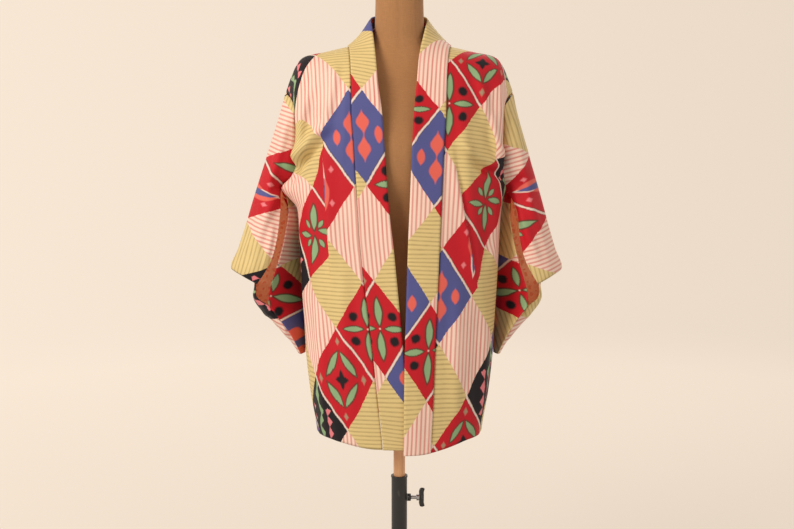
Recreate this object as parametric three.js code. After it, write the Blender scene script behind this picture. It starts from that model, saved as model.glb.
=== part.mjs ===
// A haori, the short open kimono jacket, worn by a limbless dress form on a pole stand.
// Millimetres, +Z up, origin on the floor under the pole. The front faces -Y and the
// wearer's left is +X. Cloth pieces are thin closed walls, one for each piece that is cut.
import * as THREE from "three";

// ---- driving sizes ----
const HEM_Z = 572; // bottom edge of the jacket
const CAP_Z = 1235; // height where the chest starts to turn over to the shoulder
const GORE_TOP_Z = 1066;
const BODY_POWER = 2.5; // superellipse power of the body's plan
const CLOTH_WALL = 1.6;
const LINING_WALL = 1.0;
const COLLAR_WALL = 3.0; // doubled cloth
const COLLAR_LIFT = 1.5; // how far the collar stands proud of the panels
const COLLAR_OVERLAP_LIFT = 6; // extra lift of the left collar, which laps over the right one
const SEAM_GAP = 0.3;
const ARMHOLE_GAP = 1.4; // wider, because the sleeve turns sharply away from the panel
const NECK_SHARE = 0.3; // share of a back panel's width that lies inside the shoulder neck point

const FORM_FLOOR_Z = 742; // underside of the torso
const NECK_TOP_Z = 1490;
const POLE_RADIUS = 12.5;
const POLE_BOTTOM_Z = 150;
const TUBE_RADIUS = 17;
const TUBE_BORE = 13.1;
const TUBE_TOP_Z = 462;
const TUBE_FLOOR_Z = 30;
const BASE_RADIUS = 170;
const BASE_HEIGHT = 14;
const CLAMP_Z = 412;
const FLANGE_HEIGHT = 16;
const FLANGE_RADIUS = 42;
const FLANGE_FOOT_RADIUS = 34;
const TUBE_FLOOR_WALL = 10;
const TUBE_RIM = 4; // height of the rim at the tube's mouth
const HUB_RADIUS = 26;
const HUB_HEIGHT = 20; // above the tube's floor
const SHANK_RADIUS = 4;
const SHANK_LENGTH = 20;
const SHANK_HEAD = 6; // length of the shank's head
const SHANK_HEAD_RADIUS = 7;
const BOSS_RADIUS = 8;
const BOSS_LENGTH = 8;
const WING_THICKNESS = 6;
const WING_ROOT = 4; // from the wing's inner face to its middle
const WING_WAIST = 5; // half height of the wing between its blades

// Plan of the body of the jacket: half width, and depth in front of and behind the pole's axis.
const BODY_ROWS = [
  { z: 572, half: 177, front: 128, back: 104 },
  { z: 650, half: 188, front: 130, back: 111 },
  { z: 742, half: 198, front: 130, back: 117 },
  { z: 847, half: 204, front: 128, back: 119 },
  { z: 950, half: 208, front: 126, back: 118 },
  { z: 1047, half: 211, front: 124, back: 116 },
  { z: 1150, half: 212, front: 120, back: 112 },
  { z: 1235, half: 213, front: 112, back: 106 },
];
// Outer edge of the body panels at the armhole: a valley that flares out at the underarm point.
// out is its distance from the centre, depth its distance before or behind the pole's axis.
const ARMHOLE_ROWS = [
  { z: 1020, out: 211, depth: 22, blend: 0 },
  { z: 1046, out: 214, depth: 20, blend: 0.7 },
  { z: 1066, out: 230, depth: 17, blend: 1 },
  { z: 1085, out: 245, depth: 17, blend: 1 },
  { z: 1106, out: 225, depth: 33, blend: 1 },
  { z: 1131, out: 211, depth: 46, blend: 1 },
  { z: 1180, out: 209, depth: 51, blend: 1 },
  { z: 1235, out: 212, depth: 52, blend: 1 },
];
const VALLEY_X = 211;
// Shoulder fold from the neck point over the shoulder tip to the top of the armhole seam.
const SHOULDER_LINE = [
  [106, 4, 1375],
  [154, 4, 1364],
  [199, 4, 1353],
  [214, 4, 1335],
  [237, 4, 1278],
];
const BACK_NECK = { depth: 78, z: 1380 };

// Inner edge of each front panel, where the collar is sewn on, as a distance from the centre.
const FRONT_EDGE_ROWS = [
  { z: 572, right: 34, left: 64 },
  { z: 680, right: 46, left: 69 },
  { z: 788, right: 58, left: 73 },
  { z: 956, right: 77, left: 80 },
  { z: 1056, right: 84, left: 84 },
  { z: 1182, right: 91, left: 89 },
  { z: 1262, right: 97, left: 94 },
];
// Free edge of the collar. station is 0 at the hem, 1 at the shoulder neck point and 2 at the
// centre back. right and left are distances from the centre towards that side.
const COLLAR_FREE_ROWS = [
  { station: 0, right: -28, left: 8, depth: -129, z: 572 },
  { station: 0.117, right: -17, left: 9, depth: -131, z: 680 },
  { station: 0.235, right: -6, left: 11, depth: -131, z: 788 },
  { station: 0.417, right: 10, left: 16, depth: -127, z: 956 },
  { station: 0.526, right: 21, left: 20, depth: -124, z: 1056 },
  { station: 0.662, right: 30, left: 25, depth: -119, z: 1182 },
  { station: 0.72, right: 34, left: 28, depth: -114, z: 1238 },
  { station: 0.82, right: 42, left: 34, depth: -100, z: 1298 },
  { station: 0.91, right: 48, left: 40, depth: -66, z: 1358 },
  { station: 1, right: 55, left: 52, depth: -22, z: 1410 },
  { station: 1.33, right: 58, left: 56, depth: 24, z: 1434 },
  { station: 1.66, right: 37, left: 36, depth: 54, z: 1443 },
  { station: 2, right: 0, left: 0, depth: 65, z: 1445 },
];

// Sleeve sections from the armhole seam down to the bottom corner. Each is a C in plan:
// front edge, front layer, outer fold, back layer, turn beside the body, lap of the back edge.
// Each point is its distance from the centre and its depth; turnZ is edgeZ where none is given.
const SLEEVE_COLUMNS = ["edgeZ", "foldZ", "edge", "front", "fold", "back", "turn", "lap", "turnZ"];
const SLEEVE_ROWS = [
  [1235, 1278, [212, -52], [229, -38], 238, [231, 36], [212, 52], [214, 42]],
  [1180, 1222, [210, -51], [236, -46], 255, [241, 42], [210, 51], [211, 42]],
  [1131, 1165, [211, -46], [246, -50], 274, [254, 44], [211, 46], [212, 40]],
  [1106, 1136, [225, -33], [257, -48], 283, [261, 44], [225, 33], [224, 24]],
  [1085, 1112, [245, -17], [268, -44], 291, [267, 44], [245, 17], [240, 8]],
  [1040, 1060, [246, -40], [277, -50], 308, [270, 48], [220, 44], [231, -14]],
  [985, 1005, [252, -52], [286, -52], 325, [276, 48], [213, 44], [238, -34]],
  [935, 957, [266, -56], [302, -54], 341, [288, 48], [210, 44], [250, -44]],
  [888, 914, [296, -52], [326, -46], 356, [312, 46], [209, 42], [265, -49]],
  [898, 892, [300, -33], [305, -26], 310, [306, 40], [208, 40], [271, -50], 864],
  [858, 856, [300, -33], [306, -26], 311, [300, 41], [207, 38], [270, -51], 842],
  [836, 836, [270, -34], [288, -28], 304, [288, 41], [206, 36], [260, -49], 828],
  [812, 812, [254, -34], [269, -28], 282, [262, 38], [205, 32], [248, -46]],
  [785, 785, [234, -30], [247, -23], 257, [244, 32], [203, 26], [231, -40]],
  [758, 758, [220, -21], [228, -15], 233, [227, 24], [202, 20], [218, -29]],
  [732, 732, [210, -10], [214, -7], 217, [214, 14], [202, 12], [209, -12]],
].map((row) => Object.fromEntries(row.map((value, k) => [SLEEVE_COLUMNS[k], value])));
const SECTION_KEYS = ["edge", "front", "fold", "back", "turn", "lap"];
const FOLD_DEPTH = 4; // the outer fold lies just behind the pole's axis
const UNDERARM_ROW = 4; // the sleeve is sewn to the armhole down to this row
const CUFF_ROW = 8; // the cuff opens between this row and the next
const CUFF_BACK = 3; // how far round the section the cuff opening reaches
const TURN = 4; // section position of the turn beside the body
const SECTION_STEPS = [0, 0.5, 1, 1.5, 1.75, 2, 2.25, 2.5, 3, 3.5, TURN, 4.33, 4.67, 5];
const CAP_SHARE = 0.72; // share of a panel's run from hem to shoulder that lies below the cap
const SIDES = {
  right: { sign: -1, reach: 1, flare: 1 },
  left: { sign: 1, reach: 0.915, flare: 0.3 },
};

// Torso of the dress form.
const FORM_ROWS = [
  { z: 742, half: 150, front: 92, back: 84 },
  { z: 760, half: 160, front: 102, back: 94 },
  { z: 800, half: 166, front: 108, back: 100 },
  { z: 860, half: 158, front: 104, back: 98 },
  { z: 920, half: 134, front: 92, back: 88 },
  { z: 975, half: 120, front: 85, back: 80 },
  { z: 1040, half: 130, front: 94, back: 82 },
  { z: 1110, half: 146, front: 112, back: 90 },
  { z: 1170, half: 156, front: 114, back: 96 },
  { z: 1230, half: 168, front: 100, back: 96 },
  { z: 1280, half: 180, front: 80, back: 86 },
  { z: 1315, half: 183, front: 66, back: 74 },
  { z: 1338, half: 168, front: 58, back: 66 },
  { z: 1354, half: 128, front: 52, back: 60 },
  { z: 1366, half: 84, front: 48, back: 56 },
  { z: 1380, half: 60, front: 46, back: 54 },
  { z: 1400, half: 52, front: 44, back: 50 },
  { z: 1440, half: 50, front: 44, back: 48 },
  { z: 1486, half: 49, front: 44, back: 47 },
];
const FORM_POWER = 2.2;
const FORM_COLUMNS = 36;

// ---- finishes ----
const finish = (color, roughness, metalness = 0) => () =>
  new THREE.MeshStandardMaterial({ color, roughness, metalness });
const figuredSilk = finish(0xd8a890, 0.75);
const liningSilk = finish(0xb0603c, 0.6);
const formLinen = finish(0xb07c4a, 0.85);
const beech = finish(0xc08a58, 0.5);
const blackSteel = finish(0x1c1c1e, 0.45, 0.6);
const brightSteel = finish(0xb8b8bc, 0.3, 0.9);

const object = new THREE.Group();

function add(name, geometry, makeMaterial, place = [0, 0, 0]) {
  const mesh = new THREE.Mesh(geometry, makeMaterial());
  mesh.name = name;
  mesh.position.set(...place);
  object.add(mesh);
}

// ---- interpolation ----
const lerp = THREE.MathUtils.lerp;
const smooth = THREE.MathUtils.smoothstep;
const clamp = THREE.MathUtils.clamp;

// Catmull-Rom value at position t along a list of numbers.
function along(values, t) {
  const last = values.length - 1;
  const i = clamp(Math.floor(t), 0, last - 1);
  const f = t - i;
  const at = (k) => values[clamp(k, 0, last)];
  const slopeIn = (at(i + 1) - at(i - 1)) / 2;
  const slopeOut = (at(i + 2) - at(i)) / 2;
  const step = at(i + 1) - at(i);
  const bend = 3 * step - 2 * slopeIn - slopeOut;
  return at(i) + f * (slopeIn + f * (bend + f * (slopeIn + slopeOut - 2 * step)));
}

// Position in a table whose rows rise in the column named key.
function rowAt(rows, value, key = "z") {
  const last = rows.length - 1;
  if (value >= rows[last][key]) return last;
  const i = clamp(rows.findIndex((row) => row[key] > value) - 1, 0, last - 1);
  return i + Math.max(0, value - rows[i][key]) / (rows[i + 1][key] - rows[i][key]);
}

const column = (rows, key, t) => along(rows.map((row) => row[key]), t);
const steps = (from, to, count) =>
  Array.from({ length: count + 1 }, (_, i) => lerp(from, to, i / count));

// ---- cloth walls ----
const NUDGE = 1e-3; // step in u and v from which a surface's normal is taken

function surfaceNormal(point, u, v) {
  const alongU = point(u + NUDGE, v).sub(point(u - NUDGE, v));
  const alongV = point(u, v + NUDGE).sub(point(u, v - NUDGE));
  return alongU.cross(alongV).normalize();
}

// A wall with one face on point(u, v) at each pair of us and vs. The other face lies a wall's
// thickness away, against the surface's normal times out, which is +1 or -1.
function clothWall(point, us, vs, wall, out, keepsQuad = () => true) {
  const outer = [];
  const inner = [];
  for (const v of vs) {
    for (const u of us) {
      const normal = surfaceNormal(point, u, v).multiplyScalar(out);
      const p = point(u, v);
      outer.push(p);
      inner.push(p.clone().addScaledVector(normal, -wall));
    }
  }
  const corners = [];
  const seen = new Map();
  for (let j = 0; j + 1 < vs.length; j++) {
    for (let i = 0; i + 1 < us.length; i++) {
      if (!keepsQuad((us[i] + us[i + 1]) / 2, (vs[j] + vs[j + 1]) / 2)) continue;
      const a = j * us.length + i;
      const ring = [a, a + 1, a + us.length + 1, a + us.length];
      if (out < 0) ring.reverse();
      corners.push(ring);
      ring.forEach((from, k) => seen.set(`${from},${ring[(k + 1) % 4]}`, true));
    }
  }
  const positions = [];
  const quad = (a, b, c, d) => [a, b, c, a, c, d].forEach((p) => positions.push(p.x, p.y, p.z));
  for (const ring of corners) {
    quad(...ring.map((k) => outer[k]));
    const [a, b, c, d] = ring.map((k) => inner[k]);
    quad(a, d, c, b);
    ring.forEach((from, k) => {
      const to = ring[(k + 1) % 4];
      if (!seen.has(`${to},${from}`)) quad(outer[to], outer[from], inner[from], inner[to]);
    });
  }
  const geometry = new THREE.BufferGeometry();
  geometry.setAttribute("position", new THREE.Float32BufferAttribute(positions, 3));
  return geometry;
}

// ---- body of the jacket ----
// Plan point at an angle from the centre front (0) past the side (90) to the centre back (180).
function planPoint(rows, power, degrees, z) {
  const t = rowAt(rows, z);
  const angle = THREE.MathUtils.degToRad(degrees);
  const depth = degrees < 90 ? -column(rows, "front", t) : column(rows, "back", t);
  const half = column(rows, "half", t) * Math.sign(Math.sin(angle));
  return new THREE.Vector3(
    half * Math.abs(Math.sin(angle)) ** (2 / power),
    depth * Math.abs(Math.cos(angle)) ** (2 / power),
    z,
  );
}

// Angle at which the plan reaches a distance from the centre.
function angleOf(x, z) {
  const half = column(BODY_ROWS, "half", rowAt(BODY_ROWS, z));
  return THREE.MathUtils.radToDeg(Math.asin(clamp(x / half, 0, 1) ** (BODY_POWER / 2)));
}

// The side seams stand further round at the hem, where the gore is widest.
const sideAngle = (z) => lerp(70, 84, clamp((z - HEM_Z) / (GORE_TOP_Z - HEM_Z), 0, 1));

// Armhole edge of a side: its distance from the centre and its depth.
function armholeEdge(side, z) {
  const t = rowAt(ARMHOLE_ROWS, z);
  const out = VALLEY_X + (column(ARMHOLE_ROWS, "out", t) - VALLEY_X) * SIDES[side].flare;
  return { out, depth: column(ARMHOLE_ROWS, "depth", t) };
}

// How far the armhole pulls the side of the plan at this height.
function armholeShift(side, z, degrees) {
  if (z <= ARMHOLE_ROWS[0].z) return new THREE.Vector3();
  const plan = planPoint(BODY_ROWS, BODY_POWER, degrees, z);
  const { out, depth } = armholeEdge(side, z);
  const weight = clamp(column(ARMHOLE_ROWS, "blend", rowAt(ARMHOLE_ROWS, z)), 0, 1);
  const toDepth = depth * Math.sign(plan.y) - plan.y;
  return new THREE.Vector3((out - plan.x) * weight, toDepth * weight, 0);
}

// Point of a body panel below the cap. across runs from the inner seam to the side seam.
function panelPoint(side, isBack, across, z) {
  const edgeAngle = isBack ? 180 - sideAngle(z) : sideAngle(z);
  const frontEdge = column(FRONT_EDGE_ROWS, side, rowAt(FRONT_EDGE_ROWS, z));
  const innerAngle = isBack ? 180 : angleOf(frontEdge, z);
  const p = planPoint(BODY_ROWS, BODY_POWER, lerp(innerAngle, edgeAngle, across), z);
  return p.addScaledVector(armholeShift(side, z, edgeAngle), smooth(across, 0.45, 1));
}

const shoulderCurve = new THREE.CatmullRomCurve3(SHOULDER_LINE.map((p) => new THREE.Vector3(...p)));

// Top edge of a panel: the back neck from the centre back, then the shoulder fold.
function topPoint(across) {
  if (across >= NECK_SHARE) return shoulderCurve.getPoint((across - NECK_SHARE) / (1 - NECK_SHARE));
  const turn = (across / NECK_SHARE) * (Math.PI / 2);
  const [neckX, neckY, neckZ] = SHOULDER_LINE[0];
  const rise = Math.cos(turn);
  return new THREE.Vector3(
    neckX * Math.sin(turn),
    lerp(neckY, BACK_NECK.depth, rise),
    lerp(neckZ, BACK_NECK.z, rise),
  );
}

// A body panel is one length: v is 0 at the front hem, 1 on the shoulder and 2 at the back hem.
function bodyPanel(side, across, v) {
  const isBack = v > 1;
  const rise = isBack ? 2 - v : v;
  const frontAcross = (across - NECK_SHARE) / (1 - NECK_SHARE);
  const lowAcross = isBack ? across : frontAcross;
  if (rise <= CAP_SHARE) {
    const p = panelPoint(side, isBack, lowAcross, lerp(HEM_Z, CAP_Z, rise / CAP_SHARE));
    return p.setX(p.x * SIDES[side].sign);
  }
  const turn = ((rise - CAP_SHARE) / (1 - CAP_SHARE)) * (Math.PI / 2);
  const low = panelPoint(side, isBack, lowAcross, CAP_Z);
  const top = topPoint(across);
  const p = new THREE.Vector3(
    lerp(top.x, low.x, Math.cos(turn)),
    lerp(top.y, low.y, Math.cos(turn)),
    lerp(low.z, top.z, Math.sin(turn)),
  );
  return p.setX(p.x * SIDES[side].sign);
}

// Heights shared by the panels and the gores, so that their facets meet along the seams.
const SIDE_ROWS_BELOW_ARMHOLE = 9;
const SIDE_HEIGHTS = [
  ...steps(HEM_Z, ARMHOLE_ROWS[0].z, SIDE_ROWS_BELOW_ARMHOLE),
  ...ARMHOLE_ROWS.slice(1).map((row) => row.z),
];
const FRONT_RUN = SIDE_HEIGHTS.map((z) => (CAP_SHARE * (z - HEM_Z)) / (CAP_Z - HEM_Z));
const CAP_RUN = SECTION_STEPS.filter((step) => step > 0 && step < TURN / 2).map((step) =>
  lerp(CAP_SHARE, 1, step / (TURN / 2)),
);
const SHOULDER_RUN = [...FRONT_RUN, ...CAP_RUN, 1];
const NECK_STEPS = steps(0, NECK_SHARE, 4);
const PANEL_WIDTH = 300; // typical widths, which turn a seam gap into a share of a piece
const GORE_WIDTH = 40;
const COLLAR_WIDTH = 60;
const PANEL_COLUMNS = 10;
const GORE_COLUMNS = 4;
const COLLAR_COLUMNS = 4;

function addBodyPanel(side) {
  const trim = SEAM_GAP / PANEL_WIDTH;
  const pastNeck = steps(NECK_SHARE + trim, 1 - trim / 2, PANEL_COLUMNS);
  const us = [trim, ...NECK_STEPS.slice(1, -1), ...pastNeck];
  const vs = [...SHOULDER_RUN, ...SHOULDER_RUN.slice(0, -1).reverse().map((v) => 2 - v)];
  const onCloth = (u, v) => v > 1 || u > NECK_SHARE;
  const point = (u, v) => bodyPanel(side, u, v);
  const wall = clothWall(point, us, vs, CLOTH_WALL, -SIDES[side].sign, onCloth);
  add(`body_panel_${side}`, wall, figuredSilk);
}

function addGore(side) {
  const sign = SIDES[side].sign;
  const trim = SEAM_GAP / GORE_WIDTH;
  const point = (across, z) => {
    const degrees = lerp(sideAngle(z), 180 - sideAngle(z), across);
    const p = planPoint(BODY_ROWS, BODY_POWER, degrees, z);
    p.addScaledVector(armholeShift(side, z, sideAngle(z)), 1 - across);
    p.addScaledVector(armholeShift(side, z, 180 - sideAngle(z)), across);
    return p.setX(p.x * sign);
  };
  const heights = SIDE_HEIGHTS.filter((z) => z <= GORE_TOP_Z);
  const us = steps(trim, 1 - trim, GORE_COLUMNS);
  add(`gore_${side}`, clothWall(point, us, heights, CLOTH_WALL, sign), figuredSilk);
}

// ---- sleeves ----
// Control points of each section of one sleeve, sewn to that side's armhole down to the underarm.
function sleeveSections(side) {
  const { reach } = SIDES[side];
  const swing = (x) => VALLEY_X + Math.max(0, x - VALLEY_X) * reach;
  return SLEEVE_ROWS.map((row, index) => {
    const sewn = armholeEdge(side, row.edgeZ);
    const isSewn = index <= UNDERARM_ROW;
    const sewnDepth = sewn.depth - ARMHOLE_GAP;
    const sewnPoints = { edge: [sewn.out, -sewnDepth], turn: [sewn.out, sewnDepth] };
    const turnZ = row.turnZ ?? row.edgeZ;
    const frontZ = lerp(row.edgeZ, row.foldZ, 0.6);
    const zs = [row.edgeZ, frontZ, row.foldZ, (row.foldZ + turnZ) / 2, turnZ, turnZ];
    return SECTION_KEYS.map((key, k) => {
      const z = zs[k];
      if (isSewn && key in sewnPoints) {
        const [sewnX, sewnY] = sewnPoints[key];
        return [sewnX + ARMHOLE_GAP, sewnY, z];
      }
      const [x, y] = key === "fold" ? [row.fold, FOLD_DEPTH] : row[key];
      return [x < VALLEY_X ? x : swing(x), y, z];
    });
  });
}
const SECTIONS = { right: sleeveSections("right"), left: sleeveSections("left") };

// Point of a sleeve. around runs round the C from the front edge to the lap, row down the sleeve.
function sleevePoint(side, around, row) {
  const { sign } = SIDES[side];
  const knot = (k, axis, atRow) => along(SECTIONS[side].map((section) => section[k][axis]), atRow);
  const splined = (atRow) =>
    [0, 1, 2].map((axis) => along(SECTION_KEYS.map((_, k) => knot(k, axis, atRow)), around));
  const [x, y, z] = splined(row);
  const p = new THREE.Vector3(x * sign, y, z);
  if (row >= 1 || around > TURN) return p;
  const seam = bodyPanel(side, 1, lerp(CAP_SHARE, 2 - CAP_SHARE, around / TURN));
  const [seamX, seamY, seamZ] = splined(0);
  const toSeam = seam.sub(new THREE.Vector3(seamX * sign, seamY, seamZ));
  toSeam.x += ARMHOLE_GAP * sign;
  toSeam.y += ARMHOLE_GAP * Math.cos((around / TURN) * Math.PI);
  return p.addScaledVector(toSeam, (1 - row) ** 2);
}

const SLEEVE_ROW_STEPS = [
  ...steps(0, UNDERARM_ROW, UNDERARM_ROW),
  ...steps(UNDERARM_ROW + 0.5, CUFF_ROW, 7),
  ...steps(CUFF_ROW + 1, SLEEVE_ROWS.length - 1, 10),
];

function onSleeve(around, row) {
  const curlsAboveUnderarm = around > TURN && row < UNDERARM_ROW;
  const insideCuff = around < CUFF_BACK && row > CUFF_ROW && row < CUFF_ROW + 1;
  return !curlsAboveUnderarm && !insideCuff;
}

function addSleeve(side) {
  const point = (u, v) => sleevePoint(side, u, v);
  const { sign } = SIDES[side];
  const wall = clothWall(point, SECTION_STEPS, SLEEVE_ROW_STEPS, CLOTH_WALL, -sign, onSleeve);
  add(`sleeve_${side}`, wall, figuredSilk);
}

// The lining lies inside the sleeve and stops short of its edges.
function addSleeveLining(side) {
  const { sign } = SIDES[side];
  const inset = CLOTH_WALL + SEAM_GAP;
  const sleeve = (u, v) => sleevePoint(side, u, v);
  const point = (u, v) => sleeve(u, v).addScaledVector(surfaceNormal(sleeve, u, v), inset * sign);
  const us = SECTION_STEPS.filter((step) => step > 0 && step < TURN);
  const rows = SLEEVE_ROW_STEPS.filter((row) => row > 1 && row < SLEEVE_ROWS.length - 1);
  add(`sleeve_lining_${side}`, clothWall(point, us, rows, LINING_WALL, -sign, onSleeve), liningSilk);
}

// ---- collar ----
// Point of one half of the collar. across runs from the sewn edge to the free edge, station from
// the hem (0) over the shoulder neck point (1) to the centre back (2).
function collarPoint(side, across, station) {
  const { sign } = SIDES[side];
  const seam = station <= 1
    ? bodyPanel(side, NECK_SHARE, station)
    : topPoint(NECK_SHARE * (2 - station)).multiply(new THREE.Vector3(sign, 1, 1));
  const t = rowAt(COLLAR_FREE_ROWS, station, "station");
  const free = new THREE.Vector3(
    column(COLLAR_FREE_ROWS, side, t) * sign,
    column(COLLAR_FREE_ROWS, "depth", t),
    column(COLLAR_FREE_ROWS, "z", t),
  );
  const p = seam.lerp(free, across);
  const low = 1 - smooth(station, 0.25, 0.42);
  const lap = side === "left" ? COLLAR_OVERLAP_LIFT * low * smooth(across, 0.02, 0.6) : 0;
  const flat = smooth(station, 0.8, 1);
  return p.add(new THREE.Vector3(0, -(COLLAR_LIFT + lap) * (1 - flat), COLLAR_LIFT * flat));
}

function addCollar() {
  const trim = (2 * SEAM_GAP) / COLLAR_WIDTH;
  const backNeck = NECK_STEPS.slice(1).map((share) => 1 + share / NECK_SHARE);
  const half = [...SHOULDER_RUN, ...backNeck];
  const run = [...half, ...half.slice(0, -1).reverse().map((station) => 4 - station)];
  const point = (across, s) =>
    s <= 2 ? collarPoint("right", across, s) : collarPoint("left", across, 4 - s);
  const us = steps(trim, 1, COLLAR_COLUMNS);
  add("collar", clothWall(point, us, run, COLLAR_WALL, -1), figuredSilk);
}

// ---- dress form and stand ----
function addFormTorso() {
  const around = FORM_COLUMNS;
  const rings = FORM_ROWS.map((row) =>
    steps(0, 360, around).slice(0, -1).map((degrees) => {
      const folded = degrees <= 180 ? degrees : 360 - degrees;
      const p = planPoint(FORM_ROWS, FORM_POWER, folded, row.z);
      return degrees <= 180 ? p : p.setX(-p.x);
    }),
  );
  const positions = [];
  const face = (...ps) => ps.forEach((p) => positions.push(p.x, p.y, p.z));
  for (let j = 0; j + 1 < rings.length; j++) {
    for (let i = 0; i < around; i++) {
      const k = (i + 1) % around;
      face(rings[j][i], rings[j][k], rings[j + 1][k]);
      face(rings[j][i], rings[j + 1][k], rings[j + 1][i]);
    }
  }
  const capEnd = (ring, flip) => {
    const centre = new THREE.Vector3(0, 0, ring[0].z);
    ring.forEach((p, i) => {
      const next = ring[(i + 1) % around];
      face(...(flip ? [centre, next, p] : [centre, p, next]));
    });
  };
  capEnd(rings[0], true);
  capEnd(rings[rings.length - 1], false);
  const geometry = new THREE.BufferGeometry();
  geometry.setAttribute("position", new THREE.Float32BufferAttribute(positions, 3));
  add("form_torso", geometry, formLinen);
}

// A turned solid from a profile of [radius, height] pairs.
function lathe(profile, segments = 32) {
  const points = profile.map(([radius, z]) => new THREE.Vector2(radius, z));
  return new THREE.LatheGeometry(points, segments).rotateX(Math.PI / 2);
}

function addNeckCap() {
  const foot = NECK_TOP_Z - 3.7; // just clear of the torso's top
  const profile = [
    [0, foot],
    [46, foot],
    [48, NECK_TOP_Z + 4],
    [40, NECK_TOP_Z + 14],
    [18, NECK_TOP_Z + 20],
    [0, NECK_TOP_Z + 21],
  ];
  add("neck_cap", lathe(profile), beech);
}

// The turned ring under the torso, and the pole that the torso stands on.
function addPole() {
  const bore = POLE_RADIUS + SEAM_GAP;
  const top = FORM_FLOOR_Z - SEAM_GAP;
  const foot = top - FLANGE_HEIGHT;
  const ring = [[bore, foot], [FLANGE_FOOT_RADIUS, foot], [FLANGE_RADIUS, top], [bore, top], [bore, foot]];
  add("form_flange", lathe(ring), blackSteel);
  const poleTop = top - SEAM_GAP;
  const rod = [[0, POLE_BOTTOM_Z], [POLE_RADIUS, POLE_BOTTOM_Z], [POLE_RADIUS, poleTop], [0, poleTop]];
  add("pole", lathe(rod), beech);
}

// The tube that the pole slides in, with a thin rim at its mouth.
function addTube() {
  const foot = TUBE_FLOOR_Z - TUBE_FLOOR_WALL;
  const rimFoot = TUBE_TOP_Z - TUBE_RIM;
  const profile = [
    [0, foot],
    [TUBE_RADIUS, foot],
    [TUBE_RADIUS, rimFoot],
    [TUBE_RADIUS + 1, rimFoot],
    [TUBE_RADIUS + 1, TUBE_TOP_Z],
    [TUBE_BORE, TUBE_TOP_Z],
    [TUBE_BORE, TUBE_FLOOR_Z],
    [0, TUBE_FLOOR_Z],
  ];
  add("stand_tube", lathe(profile), blackSteel);
}

// The round base plate, with a hub that holds the tube.
function addBase() {
  const socket = TUBE_RADIUS + SEAM_GAP;
  const socketFloor = TUBE_FLOOR_Z - TUBE_FLOOR_WALL - SEAM_GAP;
  const hubTop = TUBE_FLOOR_Z + HUB_HEIGHT;
  const profile = [
    [0, 0],
    [BASE_RADIUS - 3, 0],
    [BASE_RADIUS, 3],
    [BASE_RADIUS, BASE_HEIGHT - 5],
    [BASE_RADIUS - 6, BASE_HEIGHT],
    [HUB_RADIUS + 8, BASE_HEIGHT + 4],
    [HUB_RADIUS, hubTop],
    [socket, hubTop],
    [socket, socketFloor],
    [0, socketFloor],
  ];
  add("stand_base", lathe(profile, 48), blackSteel);
}

// The clamp: its boss on the tube, its shank and its wing, all turned about the X axis.
function addClamp() {
  const bore = SHANK_RADIUS + SEAM_GAP;
  const root = TUBE_RADIUS + SEAM_GAP;
  const place = [root, 0, CLAMP_Z];
  const ring = [[bore, 0], [BOSS_RADIUS, 0], [BOSS_RADIUS, BOSS_LENGTH], [bore, BOSS_LENGTH], [bore, 0]];
  add("clamp_boss", lathe(ring, 20).rotateY(Math.PI / 2), blackSteel, place);
  const shank = [
    [0, 0],
    [SHANK_RADIUS, 0],
    [SHANK_RADIUS, SHANK_LENGTH],
    [SHANK_HEAD_RADIUS, SHANK_LENGTH],
    [SHANK_HEAD_RADIUS, SHANK_LENGTH + SHANK_HEAD],
    [0, SHANK_LENGTH + SHANK_HEAD],
  ];
  add("clamp_screw", lathe(shank, 20).rotateY(Math.PI / 2), brightSteel, place);
  const wing = new THREE.ExtrudeGeometry(wingOutline(), {
    depth: WING_THICKNESS,
    bevelEnabled: false,
    curveSegments: 6,
  });
  wing.translate(0, 0, -WING_THICKNESS / 2).rotateX(Math.PI / 2);
  const wingX = root + SHANK_LENGTH + SHANK_HEAD + SEAM_GAP + WING_ROOT;
  add("clamp_wing", wing, blackSteel, [wingX, 0, CLAMP_Z]);
}

// Outline of the wing: two rounded blades that lean away from the tube.
function wingOutline() {
  const outline = new THREE.Shape();
  outline.moveTo(-WING_ROOT, -WING_WAIST);
  outline.quadraticCurveTo(-5, -14, -2, -20);
  outline.quadraticCurveTo(4, -23, 8, -19);
  outline.quadraticCurveTo(4, -10, 6, -WING_WAIST);
  outline.lineTo(6, WING_WAIST);
  outline.quadraticCurveTo(4, 10, 8, 19);
  outline.quadraticCurveTo(4, 23, -2, 20);
  outline.quadraticCurveTo(-5, 14, -WING_ROOT, WING_WAIST);
  outline.closePath();
  return outline;
}

for (const side of Object.keys(SIDES)) {
  addBodyPanel(side);
  addGore(side);
  addSleeve(side);
  addSleeveLining(side);
}
addCollar();
addFormTorso();
addNeckCap();
addPole();
addTube();
addBase();
addClamp();

export default object;
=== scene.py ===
"""A haori, the short open kimono jacket, worn by a limbless dress form on a pole stand.

Sizes are in millimetres until a mesh is made, and metres from then on. +Z is up, the origin is
on the floor under the pole, the front faces -Y and the wearer's left is +X.
"""

import logging
import math
from collections.abc import Callable, Sequence
from dataclasses import dataclass, field
from enum import Enum

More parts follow.
